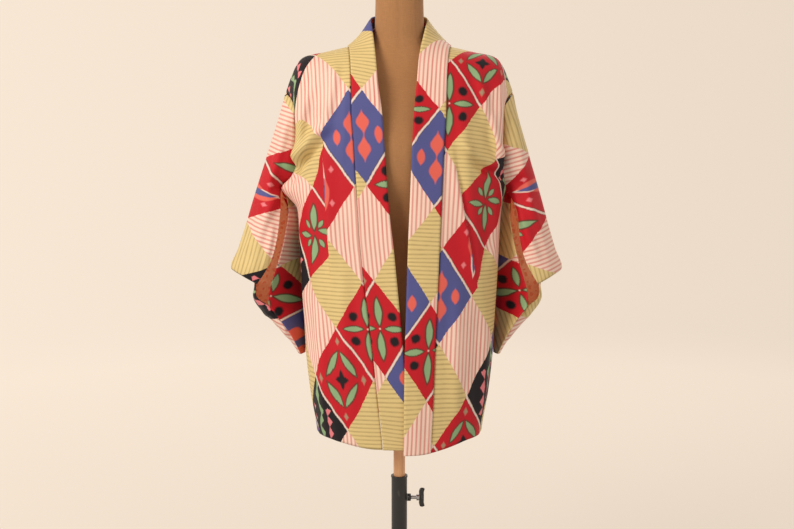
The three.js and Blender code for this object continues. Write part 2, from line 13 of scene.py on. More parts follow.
import bpy
import numpy as np
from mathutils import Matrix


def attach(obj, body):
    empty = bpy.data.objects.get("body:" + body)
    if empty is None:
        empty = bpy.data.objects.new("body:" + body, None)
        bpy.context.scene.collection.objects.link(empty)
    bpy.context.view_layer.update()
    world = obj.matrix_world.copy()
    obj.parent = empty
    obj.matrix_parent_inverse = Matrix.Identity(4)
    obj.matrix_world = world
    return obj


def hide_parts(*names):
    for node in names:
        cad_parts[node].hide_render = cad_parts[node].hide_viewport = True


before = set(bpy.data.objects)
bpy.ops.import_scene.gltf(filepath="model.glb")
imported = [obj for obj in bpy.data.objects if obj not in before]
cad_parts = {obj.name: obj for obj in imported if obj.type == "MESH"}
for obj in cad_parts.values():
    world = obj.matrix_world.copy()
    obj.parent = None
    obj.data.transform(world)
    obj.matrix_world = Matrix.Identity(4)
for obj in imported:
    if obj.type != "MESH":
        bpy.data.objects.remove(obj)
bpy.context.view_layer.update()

log = logging.getLogger("haori")
MM = 0.001
CLOTH_MAP = "cloth"  # name of the map that holds each point's place on the flat cloth, in metres
TUCK_MAP = "tuck"  # name of the map that says how far a point is beyond a tuck, and what it hides
Rgb = tuple[float, float, float]


# ---- sizes of the jacket, in millimetres ----
HEM_Z = 572
CAP_Z = 1235  # height where the chest starts to turn over to the shoulder
GORE_TOP_Z = 1066
ARMHOLE_FOOT_Z = 1020
BODY_POWER = 2.5  # superellipse power of the body's plan
FORM_POWER = 2.2
CLOTH_WALL = 1.6
LINING_WALL = 1.0
COLLAR_WALL = 3.0
COLLAR_LIFT = 1.5
COLLAR_OVERLAP_LIFT = 6  # the left front laps over the right one
SEAM_GAP = 0.3
ARMHOLE_GAP = 1.4
NECK_SHARE = 0.3  # share of a back panel's width that lies inside the shoulder neck point
CAP_SHARE = 0.72  # share of a panel's run from hem to shoulder that lies below the cap
PANEL_WIDTH = 300
GORE_WIDTH = 40
COLLAR_WIDTH = 60
LAP_WIDTH = 0.09  # metres of cloth in the lap of a sleeve, beyond its turn
VALLEY_X = 211  # distance from the centre of the valley between the body and a sleeve
FOLD_DEPTH = 4
SECTION_STEP = 28  # width of cloth in one step round a sleeve's section, near the armhole
UNDERARM_ROW = 4  # row of the sleeve's table where the armhole ends
CUFF_ROW = 8  # row below which the cuff is cut out
CUFF_BACK = 3  # position round the section where the cuff ends
TURN = 4  # position round the section where the back turns in to the lap
LAP = 5  # position round the section where the lap ends
HEM_SIDE_ANGLE = 70  # angle of the front's side seam from the centre front, in degrees
UNDERARM_SIDE_ANGLE = 84
GORE_LAY = 0.24  # where a gore's cloth starts across the repeat, in metres
GORE_CLOTH = 0.06  # width of its cloth, in metres
SLEEVE_PARTS = ("edge", "front", "fold", "back", "turn", "lap")


class Side(Enum):
    """A side of the wearer, with its direction along X and its sleeve's reach and flare."""

    RIGHT = ("right", -1, 1.0, 1.0)
    LEFT = ("left", 1, 0.915, 0.3)

    @property
    def word(self) -> str:
        """The side's name."""
        return self.value[0]

    @property
    def sign(self) -> int:
        """Direction of the side along X."""
        return self.value[1]

    @property
    def reach(self) -> float:
        """How far the sleeve stands out, as a share of the drawn one."""
        return self.value[2]

    @property
    def flare(self) -> float:
        """How far the underarm point pulls out, as a share of the drawn one."""
        return self.value[3]


# ---- curves through short tables ----
def along(values: np.ndarray, at: np.ndarray) -> np.ndarray:
    """Reads a smooth curve through equally spaced values.

    Args:
        values: one value, or one row of values, for each knot.
        at: positions along the knots, where 0 is the first.

    Returns:
        The curve's value at each position.
    """
    at = np.asarray(at, dtype=float)
    last = len(values) - 1
    low = np.clip(np.floor(at).astype(int), 0, last - 1)
    f = (at - low).reshape(at.shape + (1,) * (values.ndim - 1))

    def knot(k: np.ndarray) -> np.ndarray:
        """The value at a knot, or at the nearest one there is."""
        return values[np.clip(k, 0, last)]

    step = knot(low + 1) - knot(low)
    slope_in = (knot(low + 1) - knot(low - 1)) / 2
    slope_out = (knot(low + 2) - knot(low)) / 2
    cubic = slope_in + slope_out - 2 * step
    return knot(low) + f * (slope_in + f * (3 * step - 2 * slope_in - slope_out + f * cubic))


class Table:
    """A short table of sizes with named columns, read smoothly between its rows."""

    def __init__(self, columns: str, *rows: tuple[float, ...]) -> None:
        """Keeps the rows.

        Args:
            columns: the columns' names, of which the first rises from row to row.
            rows: one tuple of millimetres for each row.
        """
        self.names = columns.split()
        self.values = np.array(rows, dtype=float)

    def column(self, name: str) -> np.ndarray:
        """All the values of one column."""
        return self.values[:, self.names.index(name)]

    def at(self, name: str, key: np.ndarray) -> np.ndarray:
        """Values of a column where the first column has the given values."""
        keys = self.values[:, 0]
        low = np.clip(np.searchsorted(keys, key, side="right") - 1, 0, len(keys) - 2)
        part = np.maximum(0, key - keys[low]) / (keys[low + 1] - keys[low])
        return along(self.column(name), np.minimum(low + part, len(keys) - 1))


def smooth(value: np.ndarray, low: float, high: float) -> np.ndarray:
    """Rises smoothly from 0 at low to 1 at high."""
    part = np.clip((np.asarray(value, dtype=float) - low) / (high - low), 0, 1)
    return part * part * (3 - 2 * part)


def lerp(a: np.ndarray, b: np.ndarray, part: np.ndarray) -> np.ndarray:
    """The value a share of the way from a to b."""
    return a + (b - a) * part


def even(low: float, high: float, count: int) -> np.ndarray:
    """Values from low to high in equal steps."""
    return np.linspace(low, high, count + 1)


# Plan of the jacket's body: half width, and depth before and behind the pole's axis.
BODY_PLAN = Table(
    "z half front back",
    (572, 177, 128, 104),
    (650, 188, 130, 111),
    (742, 198, 130, 117),
    (847, 204, 128, 119),
    (950, 208, 126, 118),
    (1047, 211, 124, 116),
    (1150, 212, 120, 112),
    (1235, 213, 112, 106),
)
# Outer edge of the body panels at the armhole.
ARMHOLE = Table(
    "z out depth blend",
    (1020, 211, 22, 0),
    (1046, 214, 20, 0.7),
    (1066, 230, 17, 1),
    (1085, 245, 17, 1),
    (1106, 225, 33, 1),
    (1131, 211, 46, 1),
    (1180, 209, 51, 1),
    (1235, 212, 52, 1),
)
# Shoulder fold, from the neck point to the top of the armhole seam.
SHOULDER_LINE = np.array(
    [
        (106, 4, 1375),
        (154, 4, 1364),
        (199, 4, 1353),
        (214, 4, 1335),
        (237, 4, 1278),
    ],
    dtype=float,
)
BACK_NECK_DEPTH = 78
BACK_NECK_Z = 1380
# Inner edge of each front panel, as a distance from the centre.
FRONT_EDGE = Table(
    "z right left",
    (572, 34, 64),
    (680, 46, 69),
    (788, 58, 73),
    (956, 77, 80),
    (1056, 84, 84),
    (1182, 91, 89),
    (1262, 97, 94),
)
# Free edge of the collar, from the hem (station 0) over the neck point (1) to the centre back (2).
COLLAR_FREE = Table(
    "station right left depth z",
    (0, -28, 8, -129, 572),
    (0.117, -17, 9, -131, 680),
    (0.235, -6, 11, -131, 788),
    (0.417, 10, 16, -127, 956),
    (0.526, 21, 20, -124, 1056),
    (0.662, 30, 25, -119, 1182),
    (0.72, 34, 28, -114, 1238),
    (0.82, 42, 34, -100, 1298),
    (0.91, 48, 40, -66, 1358),
    (1, 55, 52, -22, 1410),
    (1.33, 58, 56, 24, 1434),
    (1.66, 37, 36, 54, 1443),
    (2, 0, 0, 65, 1445),
)


@dataclass(frozen=True)
class SleeveRow:
    """One section of a sleeve: heights of its parts, and the plan of each as (x, y)."""

    edge_z: float
    fold_z: float
    edge: tuple[float, float]
    front: tuple[float, float]
    fold: float
    back: tuple[float, float]
    turn: tuple[float, float]
    lap: tuple[float, float]
    turn_z: float | None = None


SLEEVE_ROWS = (
    SleeveRow(1235, 1278, (212, -52), (229, -38), 238, (231, 36), (212, 52), (214, 42)),
    SleeveRow(1180, 1222, (210, -51), (236, -46), 255, (241, 42), (210, 51), (211, 42)),
    SleeveRow(1131, 1165, (211, -46), (246, -50), 274, (254, 44), (211, 46), (212, 40)),
    SleeveRow(1106, 1136, (225, -33), (257, -48), 283, (261, 44), (225, 33), (224, 24)),
    SleeveRow(1085, 1112, (245, -17), (268, -44), 291, (267, 44), (245, 17), (240, 8)),
    SleeveRow(1040, 1060, (246, -40), (277, -50), 308, (270, 48), (220, 44), (231, -14)),
    SleeveRow(985, 1005, (252, -52), (286, -52), 325, (276, 48), (213, 44), (238, -34)),
    SleeveRow(935, 957, (266, -56), (302, -54), 341, (288, 48), (210, 44), (250, -44)),
    SleeveRow(888, 914, (296, -52), (326, -46), 356, (312, 46), (209, 42), (265, -49)),
    SleeveRow(898, 892, (300, -33), (305, -26), 310, (306, 40), (208, 40), (271, -50), 864),
    SleeveRow(858, 856, (300, -33), (306, -26), 311, (300, 41), (207, 38), (270, -51), 842),
    SleeveRow(836, 836, (270, -34), (288, -28), 304, (288, 41), (206, 36), (260, -49), 828),
    SleeveRow(812, 812, (254, -34), (269, -28), 282, (262, 38), (205, 32), (248, -46)),
    SleeveRow(785, 785, (234, -30), (247, -23), 257, (244, 32), (203, 26), (231, -40)),
    SleeveRow(758, 758, (220, -21), (228, -15), 233, (227, 24), (202, 20), (218, -29)),
    SleeveRow(732, 732, (210, -10), (214, -7), 217, (214, 14), (202, 12), (209, -12)),
)
# Plan of the torso.
FORM_PLAN = Table(
    "z half front back",
    (742, 150, 92, 84),
    (760, 160, 102, 94),
    (800, 166, 108, 100),
    (860, 158, 104, 98),
    (920, 134, 92, 88),
    (975, 120, 85, 80),
    (1040, 130, 94, 82),
    (1110, 146, 112, 90),
    (1170, 156, 114, 96),
    (1230, 168, 100, 96),
    (1280, 180, 80, 86),
    (1315, 183, 66, 74),
    (1338, 168, 58, 66),
    (1354, 128, 52, 60),
    (1366, 84, 48, 56),
    (1380, 60, 46, 54),
    (1400, 52, 44, 50),
    (1440, 50, 44, 48),
    (1486, 49, 44, 47),
)


# ---- creases ----
@dataclass(frozen=True)
class Crease:
    """A soft ridge, or a trough where lift is below 0, with a shallow hollow beside it.

    x is a distance from the centre; bow is how far the middle swings off the straight line.
    """

    x0: float
    z0: float
    x1: float
    z1: float
    bow: float
    width: float
    lift: float

    def height(self, x: np.ndarray, z: np.ndarray) -> np.ndarray:
        """How far the crease lifts the cloth at each point."""
        run_x, run_z = self.x1 - self.x0, self.z1 - self.z0
        length = math.hypot(run_x, run_z)
        share = ((x - self.x0) * run_x + (z - self.z0) * run_z) / length**2
        off = ((x - self.x0) * run_z - (z - self.z0) * run_x) / length
        off = off - self.bow * 4 * share * (1 - share)
        fade = smooth(share, -0.2, 0.25) * (1 - smooth(share, 0.7, 1.2))
        hollow = np.exp(-(((off - 1.5 * self.width) / (1.3 * self.width)) ** 2))
        return self.lift * fade * (np.exp(-((off / self.width) ** 2)) - 0.45 * hollow)


def relief(creases: Sequence[Crease], x: np.ndarray, z: np.ndarray) -> np.ndarray:
    """Height of all the creases of one face at each point."""
    return sum((crease.height(np.abs(x), z) for crease in creases), np.zeros_like(x))


@dataclass(frozen=True)
class Tuck:
    """A soft fold whose inner side laps over its outer side and hides some cloth.

    x is a distance from the centre, hidden the width of cloth that is taken into the fold, and
    step the height of the fold's edge.
    """

    x0: float
    z0: float
    x1: float
    z1: float
    hidden: float
    step: float

    def measure(self, x: np.ndarray, z: np.ndarray) -> tuple[np.ndarray, np.ndarray]:
        """Distance outwards from the fold's edge, and the fold's strength from 0 to 1."""
        run_x, run_z = self.x1 - self.x0, self.z1 - self.z0
        length = math.hypot(run_x, run_z)
        from_x, from_z = np.abs(x) - self.x0, z - self.z0
        share = (from_x * run_x + from_z * run_z) / length**2
        out = (from_z * run_x - from_x * run_z) / length
        return out, smooth(share, -0.05, 0.35) * (1 - smooth(share, 0.65, 1.05))

    def height(self, x: np.ndarray, z: np.ndarray) -> np.ndarray:
        """How far the fold lifts the cloth: a roll inside its edge, a hollow outside it."""
        out, strength = self.measure(x, z)
        beyond = smooth(out, -2, 2.5)
        roll = (1 - beyond) * np.exp(-((out / 18) ** 2))
        hollow = beyond * np.exp(-((out / 13) ** 2))
        return self.step * strength * (roll - 0.6 * hollow)

    def marks(self, x: np.ndarray, z: np.ndarray) -> np.ndarray:
        """Distance beyond the fold's edge and the width that it hides there, in metres."""
        out, strength = self.measure(x, z)
        return np.stack((out, self.hidden * strength), axis=-1) * MM


FRONT_TUCK = {
    Side.RIGHT: Tuck(156, 1205, 137, 870, 40, 6),
    Side.LEFT: Tuck(104, 1175, 158, 880, 42, 6),
}
FRONT_CREASES = {
    Side.RIGHT: (
        Crease(146, 1212, 240, 1096, -8, 12, 15),
        Crease(164, 1172, 232, 1076, -6, 8, -9),
        Crease(182, 1140, 236, 1066, -4, 7, 5),
        Crease(124, 1350, 150, 1210, 4, 9, 6),
        Crease(176, 1290, 206, 1150, -5, 9, 5),
        Crease(188, 1070, 176, 890, 6, 12, 5),
        Crease(112, 930, 98, 640, -5, 16, 4.5),
        Crease(168, 830, 152, 590, 5, 13, 6),
        Crease(203, 1000, 196, 740, 2, 9, 4),
        Crease(104, 1290, 112, 1150, 3, 9, 3),
        Crease(140, 700, 128, 575, 3, 10, 4),
    ),
    Side.LEFT: (
        Crease(124, 1262, 168, 860, 7, 15, 6),
        Crease(150, 1335, 176, 1215, -4, 9, 5.5),
        Crease(120, 1176, 214, 1130, 7, 9, 11),
        Crease(146, 1148, 216, 1108, 6, 8, -8),
        Crease(186, 1235, 212, 1140, 4, 8, 6),
        Crease(196, 1180, 226, 1095, -3, 7, 4),
        Crease(196, 1080, 180, 915, -5, 10, 5),
        Crease(118, 880, 122, 610, 6, 15, 4.5),
        Crease(176, 830, 160, 590, -5, 12, 6),
        Crease(102, 1210, 112, 1040, 3, 10, 3),
        Crease(146, 690, 150, 575, 3, 10, 4),
    ),
}
BACK_CREASES = {
    Side.RIGHT: (
        Crease(60, 1320, 44, 1010, 6, 15, 3.5),
        Crease(150, 1300, 196, 1110, -8, 12, 5),
        Crease(132, 1130, 108, 700, 7, 16, 4),
        Crease(186, 1040, 172, 640, -4, 13, 4),
        Crease(40, 900, 52, 600, 5, 15, 3),
    ),
    Side.LEFT: (
        Crease(72, 1310, 58, 1060, -5, 14, 3.5),
        Crease(160, 1290, 200, 1140, 6, 11, 4.5),
        Crease(124, 1080, 132, 660, 8, 17, 4),
        Crease(184, 1000, 168, 700, 5, 12, 3.5),
        Crease(30, 1000, 36, 720, -4, 15, 3),
    ),
}
SLEEVE_CREASES = {
    Side.RIGHT: (
        Crease(226, 1250, 268, 1090, 3, 8, 5),
        Crease(246, 1085, 300, 950, -5, 9, 6),
        Crease(284, 1050, 332, 925, 4, 8, 4),
        Crease(262, 1010, 286, 905, 4, 7, 4),
        Crease(230, 870, 288, 815, 5, 9, 5),
        Crease(222, 850, 240, 770, -3, 8, 4),
    ),
    Side.LEFT: (
        Crease(224, 1255, 256, 1115, -3, 8, 5),
        Crease(236, 1095, 282, 945, 5, 9, 6),
        Crease(262, 1070, 312, 925, -4, 8, 4),
        Crease(226, 890, 272, 815, -5, 9, 5),
        Crease(218, 840, 234, 768, 3, 8, 4),
    ),
}
ARMHOLE_DIP = 7.5  # depth of the valley along the armhole seam
DIP_WIDTH = 8
DIP_FOOT = (1105, 1150)  # heights between which the valley starts
DIP_HEAD = (1285, 1335)  # heights between which it ends
SEAM_DIP = 0.9  # how far the cloth sinks right at that seam
HEM_DROP = {Side.RIGHT: 15.0, Side.LEFT: 25.0}  # the fronts hang lower where they meet
DROP_REACH = (40, 172)  # distances from the centre between which that drop fades
DROP_RISE = 170  # height above the hem where it has faded
HEM_EASE = 21.0  # how far the pattern of a front lies lower at the hem than on level cloth
EASE_RISE = (50, 200)  # heights above the hem between which that fades
COLLAR_EASE = 0.6  # the collar's share of it
DROOP = 28.0  # how far the pattern sags towards the sleeves on the slope of the shoulder
FRONT_SAG = (950, 1250)  # heights between which that sag grows
BACK_SAG = (1100, 1278)
BACK_LEVEL = (1150, 1345)  # heights between which the pattern of a back stops being level
CREASES_END = (1300, 1350)  # heights between which the creases fade towards the shoulder


def hem_drop(side: Side, x: np.ndarray, z: np.ndarray) -> np.ndarray:
    """How far a front hangs below the level hem, most of all at its inner edge."""
    near_centre = 1 - smooth(np.abs(x), *DROP_REACH)
    near_hem = 1 - smooth(z, HEM_Z, HEM_Z + DROP_RISE)
    return HEM_DROP[side] * near_centre * near_hem


def hem_ease(z: np.ndarray) -> np.ndarray:
    """How far the pattern of a front lies lower than on level cloth, near the hem."""
    return HEM_EASE * (1 - smooth(z - HEM_Z, *EASE_RISE))


def armhole_dip(z: np.ndarray, from_seam: np.ndarray) -> np.ndarray:
    """How far the cloth sinks towards the armhole seam, which draws a valley from top to foot."""
    share = smooth(z, *DIP_FOOT) * (1 - smooth(z, *DIP_HEAD))
    return ARMHOLE_DIP * share * np.exp(-((from_seam / DIP_WIDTH) ** 2))


def hang(x: np.ndarray, z: np.ndarray) -> np.ndarray:
    """Slight unevenness of cloth that hangs freely."""
    broad = np.sin(x / 37 + z / 95) * np.sin(z / 150 + 1)
    fine = np.sin(x / 17 - z / 60 + 2) * np.sin(x / 29 + z / 41)
    return 0.9 * broad + 0.45 * fine


# ---- meshes ----
def new_object(name: str, mesh: bpy.types.Mesh, *finishes: bpy.types.Material) -> bpy.types.Object:
    """Puts a mesh into the scene as a smooth-shaded object with its finishes."""
    for finish in finishes:
        mesh.materials.append(finish)
    mesh.polygons.foreach_set("use_smooth", [True] * len(mesh.polygons))
    piece = bpy.data.objects.new(name, mesh)
    bpy.context.scene.collection.objects.link(piece)
    return piece


def mesh_of(name: str, points: np.ndarray, faces: np.ndarray) -> bpy.types.Mesh:
    """Makes a mesh from points in millimetres and faces, without points that no face uses."""
    used = np.unique(faces)
    renumber = np.zeros(len(points), dtype=int)
    renumber[used] = np.arange(len(used))
    mesh = bpy.data.meshes.new(name)
    mesh.from_pydata((points[used] * MM).tolist(), [], renumber[faces].tolist())
    return mesh


@dataclass
class ClothGrid:
    """One piece of cloth as a grid of points on its outer face.

    Attributes:
        points: places of the outer face in millimetres, rows by columns.
        flat: each point's place on the flat cloth, in metres.
        wall: thickness of the cloth.
        out: +1 or -1, so that the grid's normal points out of the jacket.
        keeps: which quads of the grid are cloth.
        marks: each point's distance beyond a tuck and the width hidden there, in metres.
    """

    points: np.ndarray
    flat: np.ndarray
    wall: float
    out: int
    keeps: np.ndarray | None = None
    marks: np.ndarray | None = None

    def __post_init__(self) -> None:
        """Keeps every quad where no mask is given."""
        rows, columns = self.points.shape[:2]
        if self.keeps is None:
            self.keeps = np.ones((rows - 1, columns - 1), dtype=bool)

    def normals(self) -> np.ndarray:
        """Unit normals that point out of the jacket."""
        across = np.gradient(self.points, axis=1)
        down = np.gradient(self.points, axis=0)
        normal = np.cross(across, down) * self.out
        return normal / np.maximum(np.linalg.norm(normal, axis=-1, keepdims=True), 1e-9)

    def raise_by(self, height: np.ndarray) -> None:
        """Moves each point along its normal, outwards where height is above 0."""
        self.points = self.points + self.normals() * height[..., None]

    def cut(self) -> tuple[tuple[float, float], float]:
        """Width and length of the cut that shows, and its flat area, in metres."""
        corner = self.points * MM
        side_a = corner[1:, :-1] - corner[:-1, :-1]
        side_b = corner[:-1, 1:] - corner[:-1, :-1]
        area = float(np.linalg.norm(np.cross(side_a, side_b), axis=-1)[self.keeps].sum())
        width = float((np.linalg.norm(side_b, axis=-1) * self.keeps).sum(axis=1).max())
        length = float((np.linalg.norm(side_a, axis=-1) * self.keeps).sum(axis=0).max())
        return (width, max(length, area / width)), area

    def build(
        self,
        name: str,
        face: bpy.types.Material,
        inside: bpy.types.Material | None = None,
        facing: float = 0.0,
    ) -> bpy.types.Object:
        """Makes the closed thin wall.

        Args:
            name: the piece's name.
            face: finish of the outer face and of the edges.
            inside: finish of the inner face, where it isn't the same.
            facing: how far the outer cloth is turned in above the hem, in metres.

        Returns:
            The piece.
        """
        count = self.points.shape[0] * self.points.shape[1]
        index = np.arange(count).reshape(self.points.shape[:2])
        corners = (index[:-1, :-1], index[:-1, 1:], index[1:, 1:], index[1:, :-1])
        quads = np.stack(corners, axis=-1)[self.keeps]
        if self.out < 0:
            quads = quads[:, ::-1]
        start, end = quads.ravel(), np.roll(quads, -1, axis=1).ravel()
        is_rim = ~np.isin(start * count + end, end * count + start)
        rim_start, rim_end = start[is_rim], end[is_rim]
        rim = np.stack((rim_end, rim_start, rim_start + count, rim_end + count), axis=-1)
        faces = np.concatenate((quads, quads[:, ::-1] + count, rim))
        inner = self.points - self.normals() * self.wall
        points = np.concatenate((self.points.reshape(-1, 3), inner.reshape(-1, 3)))
        mesh = mesh_of(name, points, faces)
        flat = np.concatenate((self.flat.reshape(-1, 2),) * 2)[faces.ravel()]
        mesh.uv_layers.new(name=CLOTH_MAP).data.foreach_set("uv", flat.ravel())
        if self.marks is not None:
            marks = np.concatenate((self.marks.reshape(-1, 2),) * 2)[faces.ravel()]
            mesh.uv_layers.new(name=TUCK_MAP).data.foreach_set("uv", marks.ravel())
        if inside is not None:
            is_lined = np.zeros(len(faces), dtype=int)
            height = flat[:, 1].reshape(len(faces), 4).mean(axis=1)
            is_inner = (faces >= count).all(axis=1)
            is_lined[is_inner & (np.abs(height - height.min()) > facing)] = 1
            mesh.polygons.foreach_set("material_index", is_lined)
        mesh.update()
        return new_object(name, mesh, *([face, inside] if inside else [face]))


def turned(
    name: str, profile: Sequence[tuple[float, float]], finish: bpy.types.Material, around: int = 96
) -> bpy.types.Object:
    """Turns a profile of (radius, height) about the Z axis.

    Args:
        name: the piece's name.
        profile: points from the foot up the outside, which starts and ends at the same point or
            on the axis.
        finish: the piece's material.
        around: number of facets around.

    Returns:
        The piece.
    """
    angles = even(0, 2 * math.pi, around)[:-1]
    ring = np.stack((np.cos(angles), np.sin(angles)), axis=-1)
    points: list[tuple[float, float, float]] = []
    rings: list[list[int]] = []
    closed = profile[0] == profile[-1]
    for radius, height in profile[: -1 if closed else None]:
        first = len(points)
        if radius == 0:
            points.append((0, 0, height))
            rings.append([first] * around)
            continue
        points.extend((radius * c, radius * s, height) for c, s in ring)
        rings.append(list(range(first, first + around)))
    if closed:
        rings.append(rings[0])
    faces = []
    for low, high in zip(rings, rings[1:]):
        for i in range(around):
            k = (i + 1) % around
            corner = (low[i], low[k], high[k], high[i])
            faces.append(tuple(dict.fromkeys(corner)))
    mesh = bpy.data.meshes.new(name)
    mesh.from_pydata([tuple(v * MM for v in p) for p in points], [], faces)
    return new_object(name, mesh, finish)


def softened(profile: Sequence[tuple[float, float]], radius: float) -> list[tuple[float, float]]:
    """Rounds each inner corner of a profile with a short arc of the given radius."""
    rounded = [profile[0]]
    for before, corner, after in zip(profile, profile[1:], profile[2:]):
        here = np.array(corner, dtype=float)
        back, ahead = np.array(before) - here, np.array(after) - here
        cut = min(radius, np.linalg.norm(back) / 2.2, np.linalg.norm(ahead) / 2.2)
        start = here + back / np.linalg.norm(back) * cut
        end = here + ahead / np.linalg.norm(ahead) * cut
        for part in even(0, 1, 4):
            arc = lerp(lerp(start, here, part), lerp(here, end, part), part)
            rounded.append((float(arc[0]), float(arc[1])))
    return [*rounded, profile[-1]]


# ---- finishes ----
def linear(red: int, green: int, blue: int) -> Rgb:
    """Turns a screen colour from 0 to 255 into linear light."""
    parts = (value / 255 for value in (red, green, blue))
    return tuple(v / 12.92 if v <= 0.04045 else ((v + 0.055) / 1.055) ** 2.4 for v in parts)


class Weave:
    """A number that varies over a surface, built from math nodes by ordinary operators."""

    def __init__(self, tree: bpy.types.NodeTree, source: bpy.types.NodeSocket) -> None:
        """Holds the node tree and the socket that gives the number."""
        self.tree = tree
        self.source = source

    def feed(self, socket: bpy.types.NodeSocket) -> None:
        """Links the number to a socket."""
        self.tree.links.new(self.source, socket)

    def math(self, operation: str, *others: "Weave | float", clamp: bool = False) -> "Weave":
        """The result of one math node.

        Args:
            operation: name of the math node's operation.
            others: the second and third numbers.
            clamp: True to keep the result from 0 to 1.

        Returns:
            The new number.
        """
        node = self.tree.nodes.new("ShaderNodeMath")
        node.operation = operation
        node.use_clamp = clamp
        self.feed(node.inputs[0])
        for socket, other in zip(node.inputs[1:], others):
            if isinstance(other, Weave):
                other.feed(socket)
            else:
                socket.default_value = other
        return Weave(self.tree, node.outputs[0])

    def __add__(self, other: "Weave | float") -> "Weave":
        """Sum."""
        return self.math("ADD", other)

    def __sub__(self, other: "Weave | float") -> "Weave":
        """Difference."""
        return self.math("SUBTRACT", other)

    def __mul__(self, other: "Weave | float") -> "Weave":
        """Product."""
        return self.math("MULTIPLY", other)

    def __neg__(self) -> "Weave":
        """The number with the other sign."""
        return self.math("MULTIPLY", -1.0)

    def __abs__(self) -> "Weave":
        """Size without the sign."""
        return self.math("ABSOLUTE")

    def cycle(self, length: float) -> "Weave":
        """Remainder from 0 to length."""
        return self.math("FLOORED_MODULO", length)

    def inside(self, edge: float, soft: float) -> "Weave":
        """1 where the number is below edge and 0 above it, over a soft border."""
        return (self * (-1 / soft)).math("ADD", edge / soft + 0.5, clamp=True)

    def equals(self, number: float) -> "Weave":
        """1 where the rounded number is the given one."""
        return self.math("COMPARE", number, 0.5)


class Dye:
    """A colour that varies over a surface, built up by laying colours over each other."""

    def __init__(self, tree: bpy.types.NodeTree, ground: Rgb) -> None:
        """Starts from one plain colour."""
        self.tree = tree
        self.ground: Rgb | bpy.types.NodeSocket = ground

    def _put(self, socket: bpy.types.NodeSocket, value: "Rgb | bpy.types.NodeSocket") -> None:
        """Sets or links a colour socket."""
        if isinstance(value, tuple):
            socket.default_value = (*value, 1)
        else:
            self.tree.links.new(value, socket)

    def over(self, colour: "Rgb | Dye", mask: Weave) -> "Dye":
        """Lays a colour where mask is 1.

        Args:
            colour: the colour, or the other dye, that is laid on.
            mask: how much of it shows at each point.

        Returns:
            The new dye.
        """
        node = self.tree.nodes.new("ShaderNodeMix")
        node.data_type = "RGBA"
        mask.feed(node.inputs["Factor"])
        self._put(node.inputs[6], self.ground)
        self._put(node.inputs[7], colour.ground if isinstance(colour, Dye) else colour)
        laid = Dye(self.tree, (0, 0, 0))
        laid.ground = node.outputs[2]
        return laid

    def feed(self, socket: bpy.types.NodeSocket) -> None:
        """Gives the colour to a shader's socket."""
        self._put(socket, self.ground)


class Bench:
    """A new material with its shader, and the textures that its finish is made from."""

    def __init__(self, name: str, roughness: float, metallic: float = 0.0) -> None:
        """Makes the material.

        Args:
            name: name of the material.
            roughness: roughness of its surface.
            metallic: 1 for bare metal.
        """
        self.material = bpy.data.materials.new(name)
        self.material.use_nodes = True
        self.tree = self.material.node_tree
        self.shader = self.tree.nodes["Principled BSDF"]
        self.shader.inputs["Roughness"].default_value = roughness
        self.shader.inputs["Metallic"].default_value = metallic

    def place(self, map_name: str | None) -> tuple[Weave, Weave, Weave]:
        """Coordinates over the surface, of a named flat map or else of the object itself."""
        if map_name is None:
            source = self.tree.nodes.new("ShaderNodeTexCoord").outputs["Object"]
        else:
            node = self.tree.nodes.new("ShaderNodeUVMap")
            node.uv_map = map_name
            source = node.outputs[0]
        split = self.tree.nodes.new("ShaderNodeSeparateXYZ")
        self.tree.links.new(source, split.inputs[0])
        return tuple(Weave(self.tree, socket) for socket in split.outputs)

    def point(self, *parts: Weave) -> bpy.types.NodeSocket:
        """Joins two or three numbers into one vector."""
        node = self.tree.nodes.new("ShaderNodeCombineXYZ")
        for socket, part in zip(node.inputs, parts):
            part.feed(socket)
        return node.outputs[0]

    def cloud(self, *parts: Weave, detail: float = 2.0) -> Weave:
        """Soft noise from 0 to 1, of size 1 in the given coordinates."""
        node = self.tree.nodes.new("ShaderNodeTexNoise")
        node.inputs["Scale"].default_value = 1.0
        node.inputs["Detail"].default_value = detail
        self.tree.links.new(self.point(*parts), node.inputs["Vector"])
        return Weave(self.tree, node.outputs[0])

    def emboss(self, height: Weave, strength: float, distance: float) -> None:
        """Gives the surface a fine bump."""
        node = self.tree.nodes.new("ShaderNodeBump")
        node.inputs["Strength"].default_value = strength
        node.inputs["Distance"].default_value = distance
        height.feed(node.inputs["Height"])
        self.tree.links.new(node.outputs[0], self.shader.inputs["Normal"])

    def shade(self, dye: Dye, patches: Weave, depth: float) -> None:
        """Colours the shader, a little darker in the given patches."""
        dark = self.tree.nodes.new("ShaderNodeHueSaturation")
        dye.feed(dark.inputs["Color"])
        (patches * depth + (1 - depth / 2)).feed(dark.inputs["Value"])
        self.tree.links.new(dark.outputs[0], self.shader.inputs["Base Color"])


class Motif(Enum):
    """What fills a dark lozenge of the figured silk."""

    FLOWER = "four petals and four dots on red"
    RING = "a ring of petals round a cross on red"
    STEM = "a stem and a zigzag on black"
    CHAIN = "a chain of small lozenges on blue"
    EYE = "a long eye on red"
    LEAVES = "a sprig of leaves on red"


